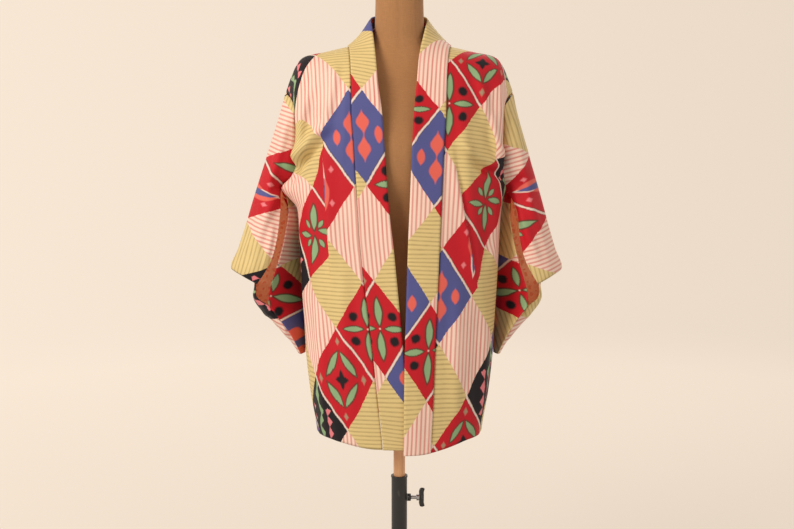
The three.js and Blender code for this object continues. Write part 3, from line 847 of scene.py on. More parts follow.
@dataclass(frozen=True)
class FiguredSilk:
    """Warp-printed silk with a repeat of lozenges: plain striped ones and figured dark ones.

    Attributes:
        name: name of the material.
        first_chain: motifs down one diagonal chain of dark lozenges.
        second_chain: motifs down the next chain.
        swaps_light: True where the two striped grounds change places.
        width: width of a lozenge, in metres.
        height: height of a lozenge, in metres.
    """

    name: str
    first_chain: tuple[Motif, ...] = (Motif.FLOWER, Motif.RING, Motif.STEM, Motif.CHAIN)
    second_chain: tuple[Motif, ...] = (Motif.CHAIN, Motif.EYE, Motif.LEAVES, Motif.STEM)
    swaps_light: bool = False
    width: float = 0.133
    height: float = 0.1926
    feather: float = 0.0062  # how far the threads blur an edge along the warp
    cream_pitch: float = 0.0084
    blush_pitch: float = 0.0087
    weft_pitch: float = 0.0011
    warp_pitch: float = 0.0009
    cream: Rgb = linear(228, 199, 134)
    cream_line: Rgb = linear(172, 144, 92)
    blush: Rgb = linear(250, 216, 194)
    blush_line: Rgb = linear(216, 106, 98)
    red: Rgb = linear(198, 16, 32)
    blue: Rgb = linear(84, 86, 142)
    coral: Rgb = linear(232, 100, 84)
    green: Rgb = linear(146, 174, 126)
    leaf_rim: Rgb = linear(72, 52, 36)
    black: Rgb = linear(22, 18, 24)
    pale: Rgb = linear(240, 214, 196)
    pink: Rgb = linear(236, 128, 132)
    beige: Rgb = linear(172, 140, 110)

    def petal(
        self, x: Weave, y: Weave, centre: tuple[float, float], lean: float, size: tuple[float, float]
    ) -> Weave:
        """How far a point is from a pointed petal's middle: below 1 inside it.

        Args:
            x: distance across the lozenge.
            y: distance down the lozenge.
            centre: the petal's middle.
            lean: angle of its length from the upright, in degrees.
            size: its length and width.

        Returns:
            The petal's own measure.
        """
        turn = math.radians(lean)
        from_x, from_y = x - centre[0], y - centre[1]
        length = from_x * math.sin(turn) + from_y * math.cos(turn)
        width = from_x * math.cos(turn) - from_y * math.sin(turn)
        reach = length * (2 / size[0])
        return abs(width * (2 / size[1])) + reach * reach

    def leaf(self, dye: Dye, measure: Weave) -> Dye:
        """Lays a green petal with a thin dark rim."""
        return dye.over(self.leaf_rim, measure.inside(1.3, 0.5)).over(
            self.green, measure.inside(0.92, 0.3)
        )

    def dot(self, x: Weave, y: Weave, centre: tuple[float, float]) -> Weave:
        """Distance from a point."""
        from_x, from_y = x - centre[0], y - centre[1]
        return (from_x * from_x + from_y * from_y).math("SQRT")

    def lozenge(
        self, x: Weave, y: Weave, centre: tuple[float, float], half: tuple[float, float]
    ) -> Weave:
        """A lozenge's own measure: below 1 inside it."""
        return abs(x - centre[0]) * (1 / half[0]) + abs(y - centre[1]) * (1 / half[1])

    def flower(self, tree: bpy.types.NodeTree, x: Weave, y: Weave) -> Dye:
        """Four petals and four dots on red."""
        side, down = abs(x), abs(y)
        dye = Dye(tree, self.red).over(
            self.black, self.dot(side, down, (0.027, 0.025)).inside(0.0092, 0.004)
        )
        dye = self.leaf(dye, self.petal(side, down, (0, 0.034), 0, (0.058, 0.0155)))
        dye = self.leaf(dye, self.petal(side, down, (0.029, 0), 90, (0.040, 0.012)))
        return dye.over(self.pale, self.dot(x, y, (0, 0)).inside(0.0016, 0.002))

    def ring(self, tree: bpy.types.NodeTree, x: Weave, y: Weave) -> Dye:
        """A ring of four petals round a small cross, with a lozenge at each corner."""
        side, down = abs(x), abs(y)
        upright = self.petal(side, down, (0, 0), 0, (0.035, 0.015))
        level = self.petal(side, down, (0, 0), 90, (0.033, 0.015))
        dye = Dye(tree, self.red).over(self.black, upright.math("MINIMUM", level).inside(1, 0.5))
        dye = self.leaf(dye, self.petal(side, down, (0.0175, 0.027), -35, (0.052, 0.0125)))
        tips = self.lozenge(side, down, (0, 0.068), (0.005, 0.008)).math(
            "MINIMUM", self.lozenge(side, down, (0.046, 0), (0.005, 0.008))
        )
        return dye.over(self.beige, tips.inside(1, 0.7))

    def stem(self, tree: bpy.types.NodeTree, x: Weave, y: Weave) -> Dye:
        """A green wave and a pink zigzag on black."""
        slow = y.math("PINGPONG", 0.031)
        quick = (y + 0.013).math("PINGPONG", 0.0125)
        green = abs(x + 0.004 - slow * 0.42 + quick * 0.25) + quick * 0.42
        dye = Dye(tree, self.black).over(self.green, green.inside(0.0072, 0.0018))
        side = abs(x + quick * 0.3) - 0.026
        pink = abs(side) + quick * 0.5 + (abs(y) - 0.038).math("MAXIMUM", 0.0)
        return dye.over(self.pink, pink.inside(0.0062, 0.0018))

    def chain(self, tree: bpy.types.NodeTree, x: Weave, y: Weave) -> Dye:
        """Two coral lozenges one above the other and a small one each side, on blue."""
        side, down = abs(x), abs(y)
        swell = (down * (math.pi / 0.052)).math("SINE")
        link = side - swell * swell * 0.0125
        reach = (down - 0.052).inside(0, 0.004)
        dye = Dye(tree, self.blue).over(self.coral, link.inside(0.0006, 0.003) * reach)
        small = self.petal(side, down, (0.030, 0), 0, (0.032, 0.0165))
        return dye.over(self.coral, small.inside(1, 0.35))

    def eye(self, tree: bpy.types.NodeTree, x: Weave, y: Weave) -> Dye:
        """A long blue eye with a coral heart, on red."""
        left = self.petal(x, y, (-0.006, -0.015), -2, (0.070, 0.020))
        right = self.petal(x, y, (0.006, 0.017), -2, (0.070, 0.020))
        heart = self.petal(x, y, (0.001, 0.0), 0, (0.104, 0.013))
        dye = Dye(tree, self.red).over(self.pale, heart.inside(1.35, 0.3))
        dye = dye.over(self.coral, left.math("MINIMUM", right).inside(1, 0.25))
        dye = dye.over(self.blue, heart.inside(1, 0.3))
        dye = dye.over(self.black, self.dot(x, y, (0.002, 0)).inside(0.0045, 0.003))
        side, down = abs(x), abs(y)
        tips = self.lozenge(side, down, (0.021, 0.034), (0.005, 0.007))
        return dye.over(self.pink, tips.inside(1, 0.7))

    def leaves(self, tree: bpy.types.NodeTree, x: Weave, y: Weave) -> Dye:
        """Two long leaves, two short ones and four buds, on red."""
        side, down = abs(x), abs(y)
        dye = self.leaf(Dye(tree, self.red), self.petal(side, down, (0, 0.034), 0, (0.056, 0.014)))
        dye = self.leaf(dye, self.petal(x, y, (0.025, -0.004), 82, (0.036, 0.0115)))
        dye = self.leaf(dye, self.petal(x, y, (-0.025, 0.003), 86, (0.036, 0.0125)))
        return self.leaf(dye, self.petal(side, down, (0.0145, 0.0195), 34, (0.020, 0.009)))

    def stripes(self, place: Weave, period: float, share: float) -> Weave:
        """Soft lines across a coordinate, as a mask."""
        wave = (place * (2 * math.pi / period)).math("COSINE")
        edge = math.cos(math.pi * share)
        return wave.math("ADD", 0.5 - edge, clamp=True)

    def build(self) -> bpy.types.Material:
        """Makes the material."""
        bench = Bench(self.name, roughness=0.62)
        tree = bench.tree
        shown, along_warp, _ = bench.place(CLOTH_MAP)
        beyond, hidden, _ = bench.place(TUCK_MAP)
        across = shown + hidden * (-beyond).inside(0, 0.0008)
        thread = bench.cloud(across * 900, along_warp * 18)
        drift = bench.cloud(across * 14, along_warp * 14)
        wander = bench.cloud(across * 34 + 5, along_warp * 34)
        down = along_warp + (thread - 0.5) * self.feather + (drift - 0.5) * 0.007
        side = across + (drift - 0.5) * 0.004 + (wander - 0.5) * 0.004
        u, v = side * (1 / self.width), down * (1 / self.height)
        p, q = u + v, u - v
        row, column = p.math("ROUND"), q.math("ROUND")
        part_p, part_q = p - row, q - column
        x = (part_p + part_q) * (self.width / 2)
        y = (part_p - part_q) * (self.height / 2)

        line = self.stripes(along_warp + (thread - 0.5) * 0.0006, self.cream_pitch, 0.36)
        fade = bench.cloud(across * 60, along_warp * 60)
        cream = Dye(tree, self.cream).over(self.cream_line, line * (fade * 0.6 + 0.30))
        warp_line = self.stripes(across, self.blush_pitch, 0.42)
        worn = bench.cloud(across * 320, along_warp * 7)
        blush = Dye(tree, self.blush).over(self.blush_line, warp_line * (worn * 0.9 + 0.22))
        parity = (column + (row + 1) * 0.5 + (1.0 if self.swaps_light else 0.0)).cycle(2)
        light = cream.over(blush, parity.equals(1))

        number = (row.cycle(4) - column).cycle(4) + row.cycle(4) * 2
        painters: dict[Motif, Callable[[bpy.types.NodeTree, Weave, Weave], Dye]] = {
            Motif.FLOWER: self.flower,
            Motif.RING: self.ring,
            Motif.STEM: self.stem,
            Motif.CHAIN: self.chain,
            Motif.EYE: self.eye,
            Motif.LEAVES: self.leaves,
        }
        dark = Dye(tree, self.red)
        cells = (*self.first_chain, *self.second_chain)
        for motif, painter in painters.items():
            places = [place for place, cell in enumerate(cells) if cell is motif]
            if not places:
                continue
            mask = number.equals(places[0])
            for place in places[1:]:
                mask = mask + number.equals(place)
            dark = dark.over(painter(tree, x, y), mask)
        edge = abs(part_q)
        dark = dark.over(self.black, (-edge).inside(-0.470, 0.02) * 0.7)
        dark = dark.over(self.pale, (-edge).inside(-0.481, 0.016))
        whole = dark.over(light, row.cycle(2).equals(1))

        faded = bench.cloud(across * 7, along_warp * 7, detail=4.0)
        slub = bench.cloud(across * 70, along_warp * 1500)
        bench.shade(whole, faded * 0.6 + slub * 0.4, 0.30)
        weft = (along_warp * (2 * math.pi / self.weft_pitch)).math("SINE")
        warp = (across * (2 * math.pi / self.warp_pitch)).math("SINE")
        bench.emboss(weft * 0.5 + warp * 0.3 + slub + drift * 2, 0.22, 0.0004)
        bench.shader.inputs["Sheen Weight"].default_value = 0.04
        bench.shader.inputs["Sheen Roughness"].default_value = 0.45
        bench.shader.inputs["Specular IOR Level"].default_value = 0.22
        return bench.material


@dataclass(frozen=True)
class LiningSilk:
    """Thin russet silk with small dark figures and a few roundels; its colours are painted lighter and
    given a painted glow, to stand in for light inside the shaded sleeve.
    """

    # Painted light: the ground, figure and pale colours are lighter than the silk's own, to make up for
    # the shade inside the sleeve.
    ground: Rgb = linear(255, 200, 152)
    figure: Rgb = linear(238, 142, 102)
    roundel: Rgb = linear(136, 124, 110)
    pale: Rgb = linear(255, 226, 184)
    painted_glow_colour: Rgb = linear(216, 128, 84)  # colour of a painted glow that stands in for daylight through the thin silk
    painted_glow_strength: float = 0.16  # strength of that painted glow
    figure_pitch: float = 0.014
    roundel_pitch: float = 0.096
    dot_pitch: float = 0.0042

    def build(self) -> bpy.types.Material:
        """Makes the material."""
        bench = Bench("lining silk", roughness=0.5)
        across, down, _ = bench.place(CLOTH_MAP)
        bend = bench.cloud(across * 60, down * 60)
        bent_across, bent_down = across + (bend - 0.5) * 0.020, down + (bend - 0.5) * 0.014
        spots = self.net(bent_across, bent_down, self.figure_pitch)
        dye = Dye(bench.tree, self.ground).over(self.pale, spots.inside(0.0062, 0.003) * 0.5)
        dye = dye.over(self.figure, (spots + (bend - 0.5) * 0.012).inside(0.0034, 0.002))
        wheels = self.net(across, down, self.roundel_pitch)
        dots = self.net(across, down, self.dot_pitch).inside(0.0013, 0.0008)
        dye = dye.over(self.roundel, wheels.inside(0.0125, 0.002) * (dots * -0.35 + 0.95))
        slub = bench.cloud(across * 80, down * 1400)
        bench.shade(dye, slub, 0.2)
        bench.emboss(slub, 0.2, 0.0003)
        bench.shader.inputs["Sheen Weight"].default_value = 0.2
        # Painted glow: emitted light that stands in for daylight coming through the thin silk.
        bench.shader.inputs["Emission Color"].default_value = (*self.painted_glow_colour, 1)
        bench.shader.inputs["Emission Strength"].default_value = self.painted_glow_strength
        return bench.material

    def net(self, across: Weave, down: Weave, period: float) -> Weave:
        """Distance to the nearest knot of a staggered net."""
        row = (down * (1 / period)).math("ROUND")
        shift = row.cycle(2) * (period / 2)
        from_x = (across + shift).math("PINGPONG", period / 2)
        from_y = down - row * period
        return (from_x * from_x + from_y * from_y).math("SQRT")


@dataclass(frozen=True)
class FormLinen:
    """Tan linen stretched over the torso."""

    ground: Rgb = linear(176, 122, 72)
    dark: Rgb = linear(128, 82, 44)

    def build(self) -> bpy.types.Material:
        """Makes the material."""
        bench = Bench("form linen", roughness=0.85)
        x, y, z = bench.place(None)
        warp = bench.cloud(x * 1100, y * 1100, z * 60)
        weft = bench.cloud(x * 70, y * 70, z * 1100)
        patches = bench.cloud(x * 12, y * 12, z * 12, detail=4.0)
        dye = Dye(bench.tree, self.ground).over(self.dark, (warp + weft - 0.75) * 0.55)
        bench.shade(dye, patches, 0.25)
        bench.emboss(warp + weft, 0.5, 0.0006)
        bench.shader.inputs["Sheen Weight"].default_value = 0.15
        return bench.material


@dataclass(frozen=True)
class Beech:
    """Clear-finished beech with its grain upright."""

    ground: Rgb = linear(236, 178, 124)
    grain: Rgb = linear(190, 132, 86)

    def build(self) -> bpy.types.Material:
        """Makes the material."""
        bench = Bench("beech", roughness=0.42)
        x, y, z = bench.place(None)
        bend = bench.cloud(x * 30, y * 30, z * 4)
        lines = bench.cloud(x * 260 + bend * 4, y * 260, z * 6, detail=4.0)
        flecks = bench.cloud(x * 900, y * 900, z * 90)
        dye = Dye(bench.tree, self.ground).over(self.grain, lines.math("POWER", 3.0, clamp=True) * 1.6)
        dye = dye.over(self.grain, (-flecks).inside(-0.68, 0.06) * 0.6)
        bench.shade(dye, bend, 0.2)
        bench.emboss(lines + flecks, 0.15, 0.0003)
        bench.shader.inputs["Coat Weight"].default_value = 0.15
        return bench.material


@dataclass(frozen=True)
class PaintedSteel:
    """Black paint on steel, a little rubbed and orange-peeled."""

    name: str = "black steel"
    ground: Rgb = linear(24, 24, 26)
    rubbed: Rgb = linear(58, 56, 54)

    def build(self) -> bpy.types.Material:
        """Makes the material."""
        bench = Bench(self.name, roughness=0.42)
        x, y, z = bench.place(None)
        peel = bench.cloud(x * 700, y * 700, z * 700)
        scuffs = bench.cloud(x * 60, y * 60, z * 25, detail=5.0)
        dye = Dye(bench.tree, self.ground).over(self.rubbed, (-scuffs).inside(-0.64, 0.08))
        bench.shade(dye, peel, 0.15)
        bench.emboss(peel, 0.12, 0.0004)
        return bench.material


@dataclass(frozen=True)
class BrightSteel:
    """Bare brushed steel."""

    ground: Rgb = linear(190, 190, 194)
    brushed: Rgb = linear(130, 130, 134)

    def build(self) -> bpy.types.Material:
        """Makes the material."""
        bench = Bench("bright steel", roughness=0.3, metallic=1.0)
        x, y, z = bench.place(None)
        lines = bench.cloud(x * 1600, y * 90, z * 90)
        bench.shade(Dye(bench.tree, self.ground).over(self.brushed, lines), lines, 0.2)
        bench.emboss(lines, 0.1, 0.0002)
        return bench.material


@dataclass(frozen=True)
class StudioPaper:
    """Plain warm paper of the floor and the wall, which glows evenly, with painted light that grows away
    from the stand and fades to the right.
    """

    ground: Rgb = linear(150, 140, 128)
    glow: Rgb = linear(246, 230, 212)
    floor_glow: float = 0.56
    wall_painted_light: float = 0.19  # painted light: how much more the wall glows than the floor under the stand
    painted_light_climb: float = 0.055  # painted light: how fast the glow grows, for each metre from the stand
    painted_light_fall: float = 0.022  # painted light: how much less it glows for each metre to the right, as if lit from the left

    def build(self) -> bpy.types.Material:
        """Makes the material."""
        bench = Bench("studio paper", roughness=0.95)
        x, y, z = bench.place(None)
        grain = bench.cloud(x * 3, y * 3, z * 3, detail=4.0)
        bench.shade(Dye(bench.tree, self.ground), grain, 0.02)
        bench.shader.inputs["Specular IOR Level"].default_value = 0.1
        bench.shader.inputs["Emission Color"].default_value = (*self.glow, 1)
        # Painted light on top of the even glow: more away from the stand, up to the wall, and less to the
        # right.
        from_stand = (x * x + y * y).math("SQRT")
        climb = (from_stand * self.painted_light_climb).math("MINIMUM", self.wall_painted_light)
        glow = climb - x * self.painted_light_fall + self.floor_glow
        glow.feed(bench.shader.inputs["Emission Strength"])
        return bench.material


# ---- shape of the jacket's body ----
def plan_point(plan: Table, power: float, degrees: np.ndarray, z: np.ndarray) -> np.ndarray:
    """Point of a plan at an angle from the centre front (0) to the centre back (180).

    Args:
        plan: table of half widths and depths by height.
        power: superellipse power of the plan.
        degrees: the angle.
        z: the height.

    Returns:
        Points, with x, y and z last.
    """
    degrees, z = np.broadcast_arrays(np.asarray(degrees, float), np.asarray(z, float))
    angle = np.radians(degrees)
    depth = np.where(degrees < 90, -plan.at("front", z), plan.at("back", z))
    sine = np.sin(angle)
    x = plan.at("half", z) * np.abs(sine) ** (2 / power) * np.sign(sine)
    return np.stack((x, depth * np.abs(np.cos(angle)) ** (2 / power), z), axis=-1)


def side_angle(z: np.ndarray) -> np.ndarray:
    """Angle of the side seam, which stands further round at the hem."""
    rise = np.clip((z - HEM_Z) / (GORE_TOP_Z - HEM_Z), 0, 1)
    return lerp(HEM_SIDE_ANGLE, UNDERARM_SIDE_ANGLE, rise)


def shoulder_point(share: np.ndarray) -> np.ndarray:
    """Points of the shoulder fold, as a centripetal curve through its knots."""
    ends = (2 * SHOULDER_LINE[0] - SHOULDER_LINE[1], 2 * SHOULDER_LINE[-1] - SHOULDER_LINE[-2])
    knots = np.stack((ends[0], *SHOULDER_LINE, ends[1]))
    spans = len(SHOULDER_LINE) - 1
    at = np.clip(share, 0, 1) * spans
    low = np.clip(np.floor(at).astype(int), 0, spans - 1)
    a, b, c, d = (knots[low + k] for k in range(4))
    first, middle, last = (
        np.linalg.norm(end - start, axis=-1, keepdims=True) ** 0.5
        for start, end in ((a, b), (b, c), (c, d))
    )
    slope_in = ((b - a) / first - (c - a) / (first + middle) + (c - b) / middle) * middle
    slope_out = ((c - b) / middle - (d - b) / (middle + last) + (d - c) / last) * middle
    f = (at - low)[..., None]
    cubic = 2 * b - 2 * c + slope_in + slope_out
    square = -3 * b + 3 * c - 2 * slope_in - slope_out
    return b + f * (slope_in + f * (square + f * cubic))


def top_point(across: np.ndarray) -> np.ndarray:
    """Top edge of a panel: the back neck from the centre back, then the shoulder fold."""
    turn = np.clip(across / NECK_SHARE, 0, 1) * (math.pi / 2)
    neck_x, neck_y, neck_z = SHOULDER_LINE[0]
    rise = np.cos(turn)
    neck = (neck_x * np.sin(turn), lerp(neck_y, BACK_NECK_DEPTH, rise), lerp(neck_z, BACK_NECK_Z, rise))
    on_shoulder = (across >= NECK_SHARE)[..., None]
    shoulder = shoulder_point((across - NECK_SHARE) / (1 - NECK_SHARE))
    return np.where(on_shoulder, shoulder, np.stack(neck, axis=-1))


@dataclass(frozen=True)
class BodyShape:
    """The surface that one side's body panel, gore, sleeve head and collar seam share."""

    side: Side

    def mirrored(self, points: np.ndarray) -> np.ndarray:
        """Puts points of the drawn side onto this side."""
        return points * np.array((self.side.sign, 1, 1))

    def armhole_edge(self, z: np.ndarray) -> tuple[np.ndarray, np.ndarray]:
        """Distance from the centre, and depth, of the armhole edge."""
        out = VALLEY_X + (ARMHOLE.at("out", z) - VALLEY_X) * self.side.flare
        return out, ARMHOLE.at("depth", z)

    def armhole_shift(self, z: np.ndarray, degrees: np.ndarray) -> np.ndarray:
        """How far the armhole pulls the side of the plan."""
        plan = plan_point(BODY_PLAN, BODY_POWER, degrees, z)
        out, depth = self.armhole_edge(z)
        weight = np.clip(ARMHOLE.at("blend", z), 0, 1) * (z > ARMHOLE_FOOT_Z)
        shift_x = (out - plan[..., 0]) * weight
        shift_y = (depth * np.sign(plan[..., 1]) - plan[..., 1]) * weight
        return np.stack((shift_x, shift_y, np.zeros_like(shift_x)), axis=-1)

    def low_point(self, is_back: np.ndarray, across: np.ndarray, z: np.ndarray) -> np.ndarray:
        """Point of a panel below the cap, with across from its inner seam to the side seam."""
        edge_angle = np.where(is_back, 180 - side_angle(z), side_angle(z))
        share = np.clip(FRONT_EDGE.at(self.side.word, z) / BODY_PLAN.at("half", z), 0, 1)
        inner_angle = np.where(is_back, 180, np.degrees(np.arcsin(share ** (BODY_POWER / 2))))
        points = plan_point(BODY_PLAN, BODY_POWER, lerp(inner_angle, edge_angle, across), z)
        return points + self.armhole_shift(z, edge_angle) * smooth(across, 0.45, 1)[..., None]

    def panel_point(self, across: np.ndarray, run: np.ndarray) -> np.ndarray:
        """Point of the whole panel.

        Args:
            across: 0 at the centre back, 1 at the side seam.
            run: 0 at the front hem, 1 on the shoulder and 2 at the back hem.

        Returns:
            Points on this side's panel.
        """
        across, run = np.broadcast_arrays(np.asarray(across, float), np.asarray(run, float))
        is_back = run > 1
        rise = np.where(is_back, 2 - run, run)
        low_across = np.where(is_back, across, (across - NECK_SHARE) / (1 - NECK_SHARE))
        low_z = lerp(HEM_Z, CAP_Z, np.minimum(rise / CAP_SHARE, 1))
        low = self.low_point(is_back, low_across, low_z)
        turn = np.clip((rise - CAP_SHARE) / (1 - CAP_SHARE), 0, 1) * (math.pi / 2)
        top = top_point(across)
        cap_x = lerp(top[..., 0], low[..., 0], np.cos(turn))
        cap_y = lerp(top[..., 1], low[..., 1], np.cos(turn))
        cap_z = lerp(low[..., 2], top[..., 2], np.sin(turn))
        is_cap = (rise > CAP_SHARE)[..., None]
        return self.mirrored(np.where(is_cap, np.stack((cap_x, cap_y, cap_z), axis=-1), low))

    def sleeve_knots(self) -> np.ndarray:
        """Control points of the sleeve's sections, sewn to the armhole down to the underarm."""
        knots = np.zeros((len(SLEEVE_ROWS), len(SLEEVE_PARTS), 3))
        for index, row in enumerate(SLEEVE_ROWS):
            turn_z = row.edge_z if row.turn_z is None else row.turn_z
            front_z = lerp(row.edge_z, row.fold_z, 0.6)
            heights = (row.edge_z, front_z, row.fold_z, (row.fold_z + turn_z) / 2, turn_z, turn_z)
            plans = (row.edge, row.front, (row.fold, FOLD_DEPTH), row.back, row.turn, row.lap)
            for k, ((x, y), z) in enumerate(zip(plans, heights)):
                knots[index, k] = (x if x < VALLEY_X else lerp(VALLEY_X, x, self.side.reach), y, z)
            if index <= UNDERARM_ROW:
                out, depth = self.armhole_edge(np.array(row.edge_z, dtype=float))
                sewn = depth - ARMHOLE_GAP
                knots[index, 0, :2] = (out + ARMHOLE_GAP, -sewn)
                knots[index, TURN, :2] = (out + ARMHOLE_GAP, sewn)
        return knots

    def sleeve_point(self, around: np.ndarray, rows: np.ndarray) -> np.ndarray:
        """Grid of points of the sleeve.

        Args:
            around: positions round the section, from the front edge (0) to the lap's end (5).
            rows: positions down the sleeve, along the rows of its table.

        Returns:
            Points, rows by around.
        """
        knots = self.sleeve_knots()
        down = along(np.eye(len(knots)), rows)
        across = along(np.eye(len(SLEEVE_PARTS)), around)
        grid = self.mirrored(np.einsum("ri,ijk,cj->rck", down, knots, across))
        head = self.mirrored(np.einsum("ijk,cj->ick", knots[:1], across))[0]
        run = lerp(CAP_SHARE, 2 - CAP_SHARE, np.clip(around / TURN, 0, 1))
        to_seam = self.panel_point(np.ones_like(run), run) - head
        to_seam[:, 0] += ARMHOLE_GAP * self.side.sign
        to_seam[:, 1] += ARMHOLE_GAP * np.cos(around / TURN * math.pi)
        to_seam[around > TURN] = 0
        return grid + to_seam[None] * (np.clip(1 - rows, 0, 1) ** 2)[:, None, None]


# ---- the jacket ----
@dataclass(frozen=True)
class Lay:
    """How a piece was cut from the bolt: where its cloth lies under the repeat.

    Attributes:
        u: distance across that falls on the middle of a flower lozenge, in metres.
        v: height above the hem, or distance along the sleeve, that falls on it.
        flip_u: -1 where the cloth is turned left to right.
        flip_v: -1 where it is turned top to bottom.
        skip: lozenges between that flower and the one the motifs are counted from.
    """

    u: float
    v: float
    flip_u: int = 1
    flip_v: int = 1
    skip: float = 0.0

    def flat(self, across: np.ndarray, up: np.ndarray, repeat: float) -> np.ndarray:
        """Places on the flat cloth, in metres, from distances over the piece in metres."""
        u = (across - self.u) * self.flip_u
        v = (self.v - up) * self.flip_v + self.skip * repeat
        return np.stack(np.broadcast_arrays(u, v), axis=-1)


@dataclass
class Haori:
    """The jacket: two body panels, two gores, two sleeves with their linings, and the collar."""

    silk: FiguredSilk = field(default_factory=lambda: FiguredSilk("figured silk"))
    collar_silk: FiguredSilk = field(
        default_factory=lambda: FiguredSilk(
            "figured silk, collar run",
            second_chain=(Motif.CHAIN, Motif.EYE, Motif.LEAVES, Motif.FLOWER),
            swaps_light=True,
        )
    )
    sleeve_silk: FiguredSilk = field(
        default_factory=lambda: FiguredSilk(
            "figured silk, sleeve run",
            first_chain=(Motif.FLOWER, Motif.STEM, Motif.STEM, Motif.CHAIN),
        )
    )
    lining: LiningSilk = field(default_factory=LiningSilk)
    panel_columns: int = 56
    neck_columns: int = 14  # columns of a back that lie inside the neck point
    panel_rows: int = 120  # on each of the front and the back, below the cap
    cap_rows: int = 40
    lining_top: float = 0.9  # row of the sleeve's table below which the lining starts
    lining_reach: tuple[float, float] = (0.5, 3.5)  # its positions round the section
    panel_lays: dict[Side, Lay] = field(
        default_factory=lambda: {
            Side.RIGHT: Lay(-0.0640, 0.2359),
            Side.LEFT: Lay(0.0824, 0.3012, flip_u=-1, flip_v=-1, skip=-2),
        }
    )
    collar_lays: dict[Side, Lay] = field(
        default_factory=lambda: {
            Side.RIGHT: Lay(-0.0387, 0.2387, flip_v=-1),
            Side.LEFT: Lay(0.0566, 0.1930, flip_u=-1),
        }
    )
    sleeve_lays: dict[Side, Lay] = field(
        default_factory=lambda: {
            Side.RIGHT: Lay(0.006, -0.100, flip_v=-1),
            Side.LEFT: Lay(0.394, -0.100, flip_u=-1, flip_v=-1),
        }
    )
    # How far the pattern of a sleeve's lap is shifted from that of its back, in metres.
    lap_shifts: dict[Side, float] = field(
        default_factory=lambda: {Side.RIGHT: 0.133, Side.LEFT: 0.0}
    )

    def __post_init__(self) -> None:
        """Weaves the cloth."""
        self.face = self.silk.build()
        self.collar_face = self.collar_silk.build()
        self.sleeve_face = self.sleeve_silk.build()
        self.inside = self.lining.build()
        self.shapes = {side: BodyShape(side) for side in Side}

    def dress(self, piece: bpy.types.Object, grid: ClothGrid) -> None:
        """Makes a piece of cloth ride on the form and says how it was cut.

        Args:
            piece: the piece, named after the node that it replaces.
            grid: the grid that it was made from.
        """
        node = piece.name.removesuffix("_cloth")
        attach(piece, "form")
        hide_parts(node)
        flat, area = grid.cut()
        log.info("%s: cut %.3f x %.3f m, %.3f m2", piece.name, *flat, area)

    def panel(self, side: Side) -> None:
        """One body panel, from the front hem over the shoulder to the back hem."""
        trim = SEAM_GAP / PANEL_WIDTH
        neck = even(trim, NECK_SHARE + trim, self.neck_columns)
        shoulder = even(NECK_SHARE + trim, 1 - trim / 2, self.panel_columns)
        columns = np.concatenate((neck, shoulder[1:]))
        climb = np.concatenate(
            (even(0, CAP_SHARE, self.panel_rows), even(CAP_SHARE, 1, self.cap_rows)[1:])
        )
        runs = np.concatenate((climb, 2 - climb[-2::-1]))
        shape = self.shapes[side]
        points = shape.panel_point(columns[None, :], runs[:, None])
        is_back = runs > 1
        keeps = is_back[1:, None] | (np.arange(len(columns) - 1) >= self.neck_columns)[None, :]
        lay = self.panel_lays[side]
        x, z = points[..., 0], points[..., 2]
        on_front = ~is_back[:, None]
        past_neck = (columns[None, :] - NECK_SHARE) / (1 - NECK_SHARE)
        low_across = np.where(on_front, past_neck, columns[None, :])
        sag = np.where(on_front, smooth(z, *FRONT_SAG), smooth(z, *BACK_SAG))
        reach = self.reach(points, HEM_Z + lay.v / MM)
        height = self.climb(points, is_back)
        drop = hem_drop(side, x, z) * on_front
        height = height + DROOP * np.maximum(past_neck, 0) ** 2 * sag - drop
        height = height + hem_ease(z) * on_front
        flat = lay.flat(side.sign * reach * MM, height * MM, self.silk.height)
        tuck = FRONT_TUCK[side]
        marks = tuck.marks(x, z) * np.array((1, side.sign * lay.flip_u)) * on_front[..., None]
        from_side = (1 - low_across) * PANEL_WIDTH
        dip = armhole_dip(z, from_side)
        points = points + np.stack((np.zeros_like(z), np.where(on_front, dip, -dip), -drop), axis=-1)
        grid = ClothGrid(points, flat, CLOTH_WALL, side.sign, keeps, marks)
        front = relief(FRONT_CREASES[side], x, z) + tuck.height(x, z)
        back = relief(BACK_CREASES[side], x, z)
        at_seams = smooth(low_across, 0.0, 0.14) * (1 - smooth(low_across, 0.88, 1))
        at_shoulder = 1 - smooth(z, *CREASES_END)
        folds = (np.where(on_front, front, back) + hang(x, z)) * at_seams * at_shoulder
        grid.raise_by(CLOTH_WALL + folds - SEAM_DIP * np.exp(-((from_side / 3) ** 2)))
        piece = grid.build(f"body_panel_{side.word}_cloth", self.face, self.inside)
        self.dress(piece, grid)

    def reach(self, points: np.ndarray, level_z: float) -> np.ndarray:
        """Distances across a panel, with the grain along its inner seam.

        Args:
            points: the panel's grid.
            level_z: height at which the distance is measured from the centre.

        Returns:
            A distance for each point, in millimetres.
        """
        steps = np.linalg.norm(np.diff(points, axis=1), axis=-1)
        reach = np.concatenate((np.zeros((len(points), 1)), np.cumsum(steps, axis=1)), axis=1)
        seam = points[: len(points) // 2, self.neck_columns]
        level = int(np.argmin(np.abs(seam[:, 2] - level_z)))
        return reach - reach[:, self.neck_columns][:, None] + abs(seam[level, 0])

    def climb(self, points: np.ndarray, is_back: np.ndarray) -> np.ndarray:
        """Distances up a panel from the front hem, level again over the lower back.

        Args:
            points: the panel's grid.
            is_back: which rows lie behind the shoulder.

        Returns:
            A distance for each point, in millimetres.
        """
        outer = points[:, self.neck_columns :]
        steps = np.linalg.norm(np.diff(outer, axis=0), axis=-1)
        height = np.concatenate((np.zeros((1, steps.shape[1])), np.cumsum(steps, axis=0)))
        level = height[-1, 0] - (height[-1] - height)
        share = (1 - smooth(outer[..., 2], *BACK_LEVEL)) * is_back[:, None]
        height = lerp(height, level, share)
        inner = np.repeat(height[:, :1], self.neck_columns, axis=1)
        return np.concatenate((inner, height), axis=1)

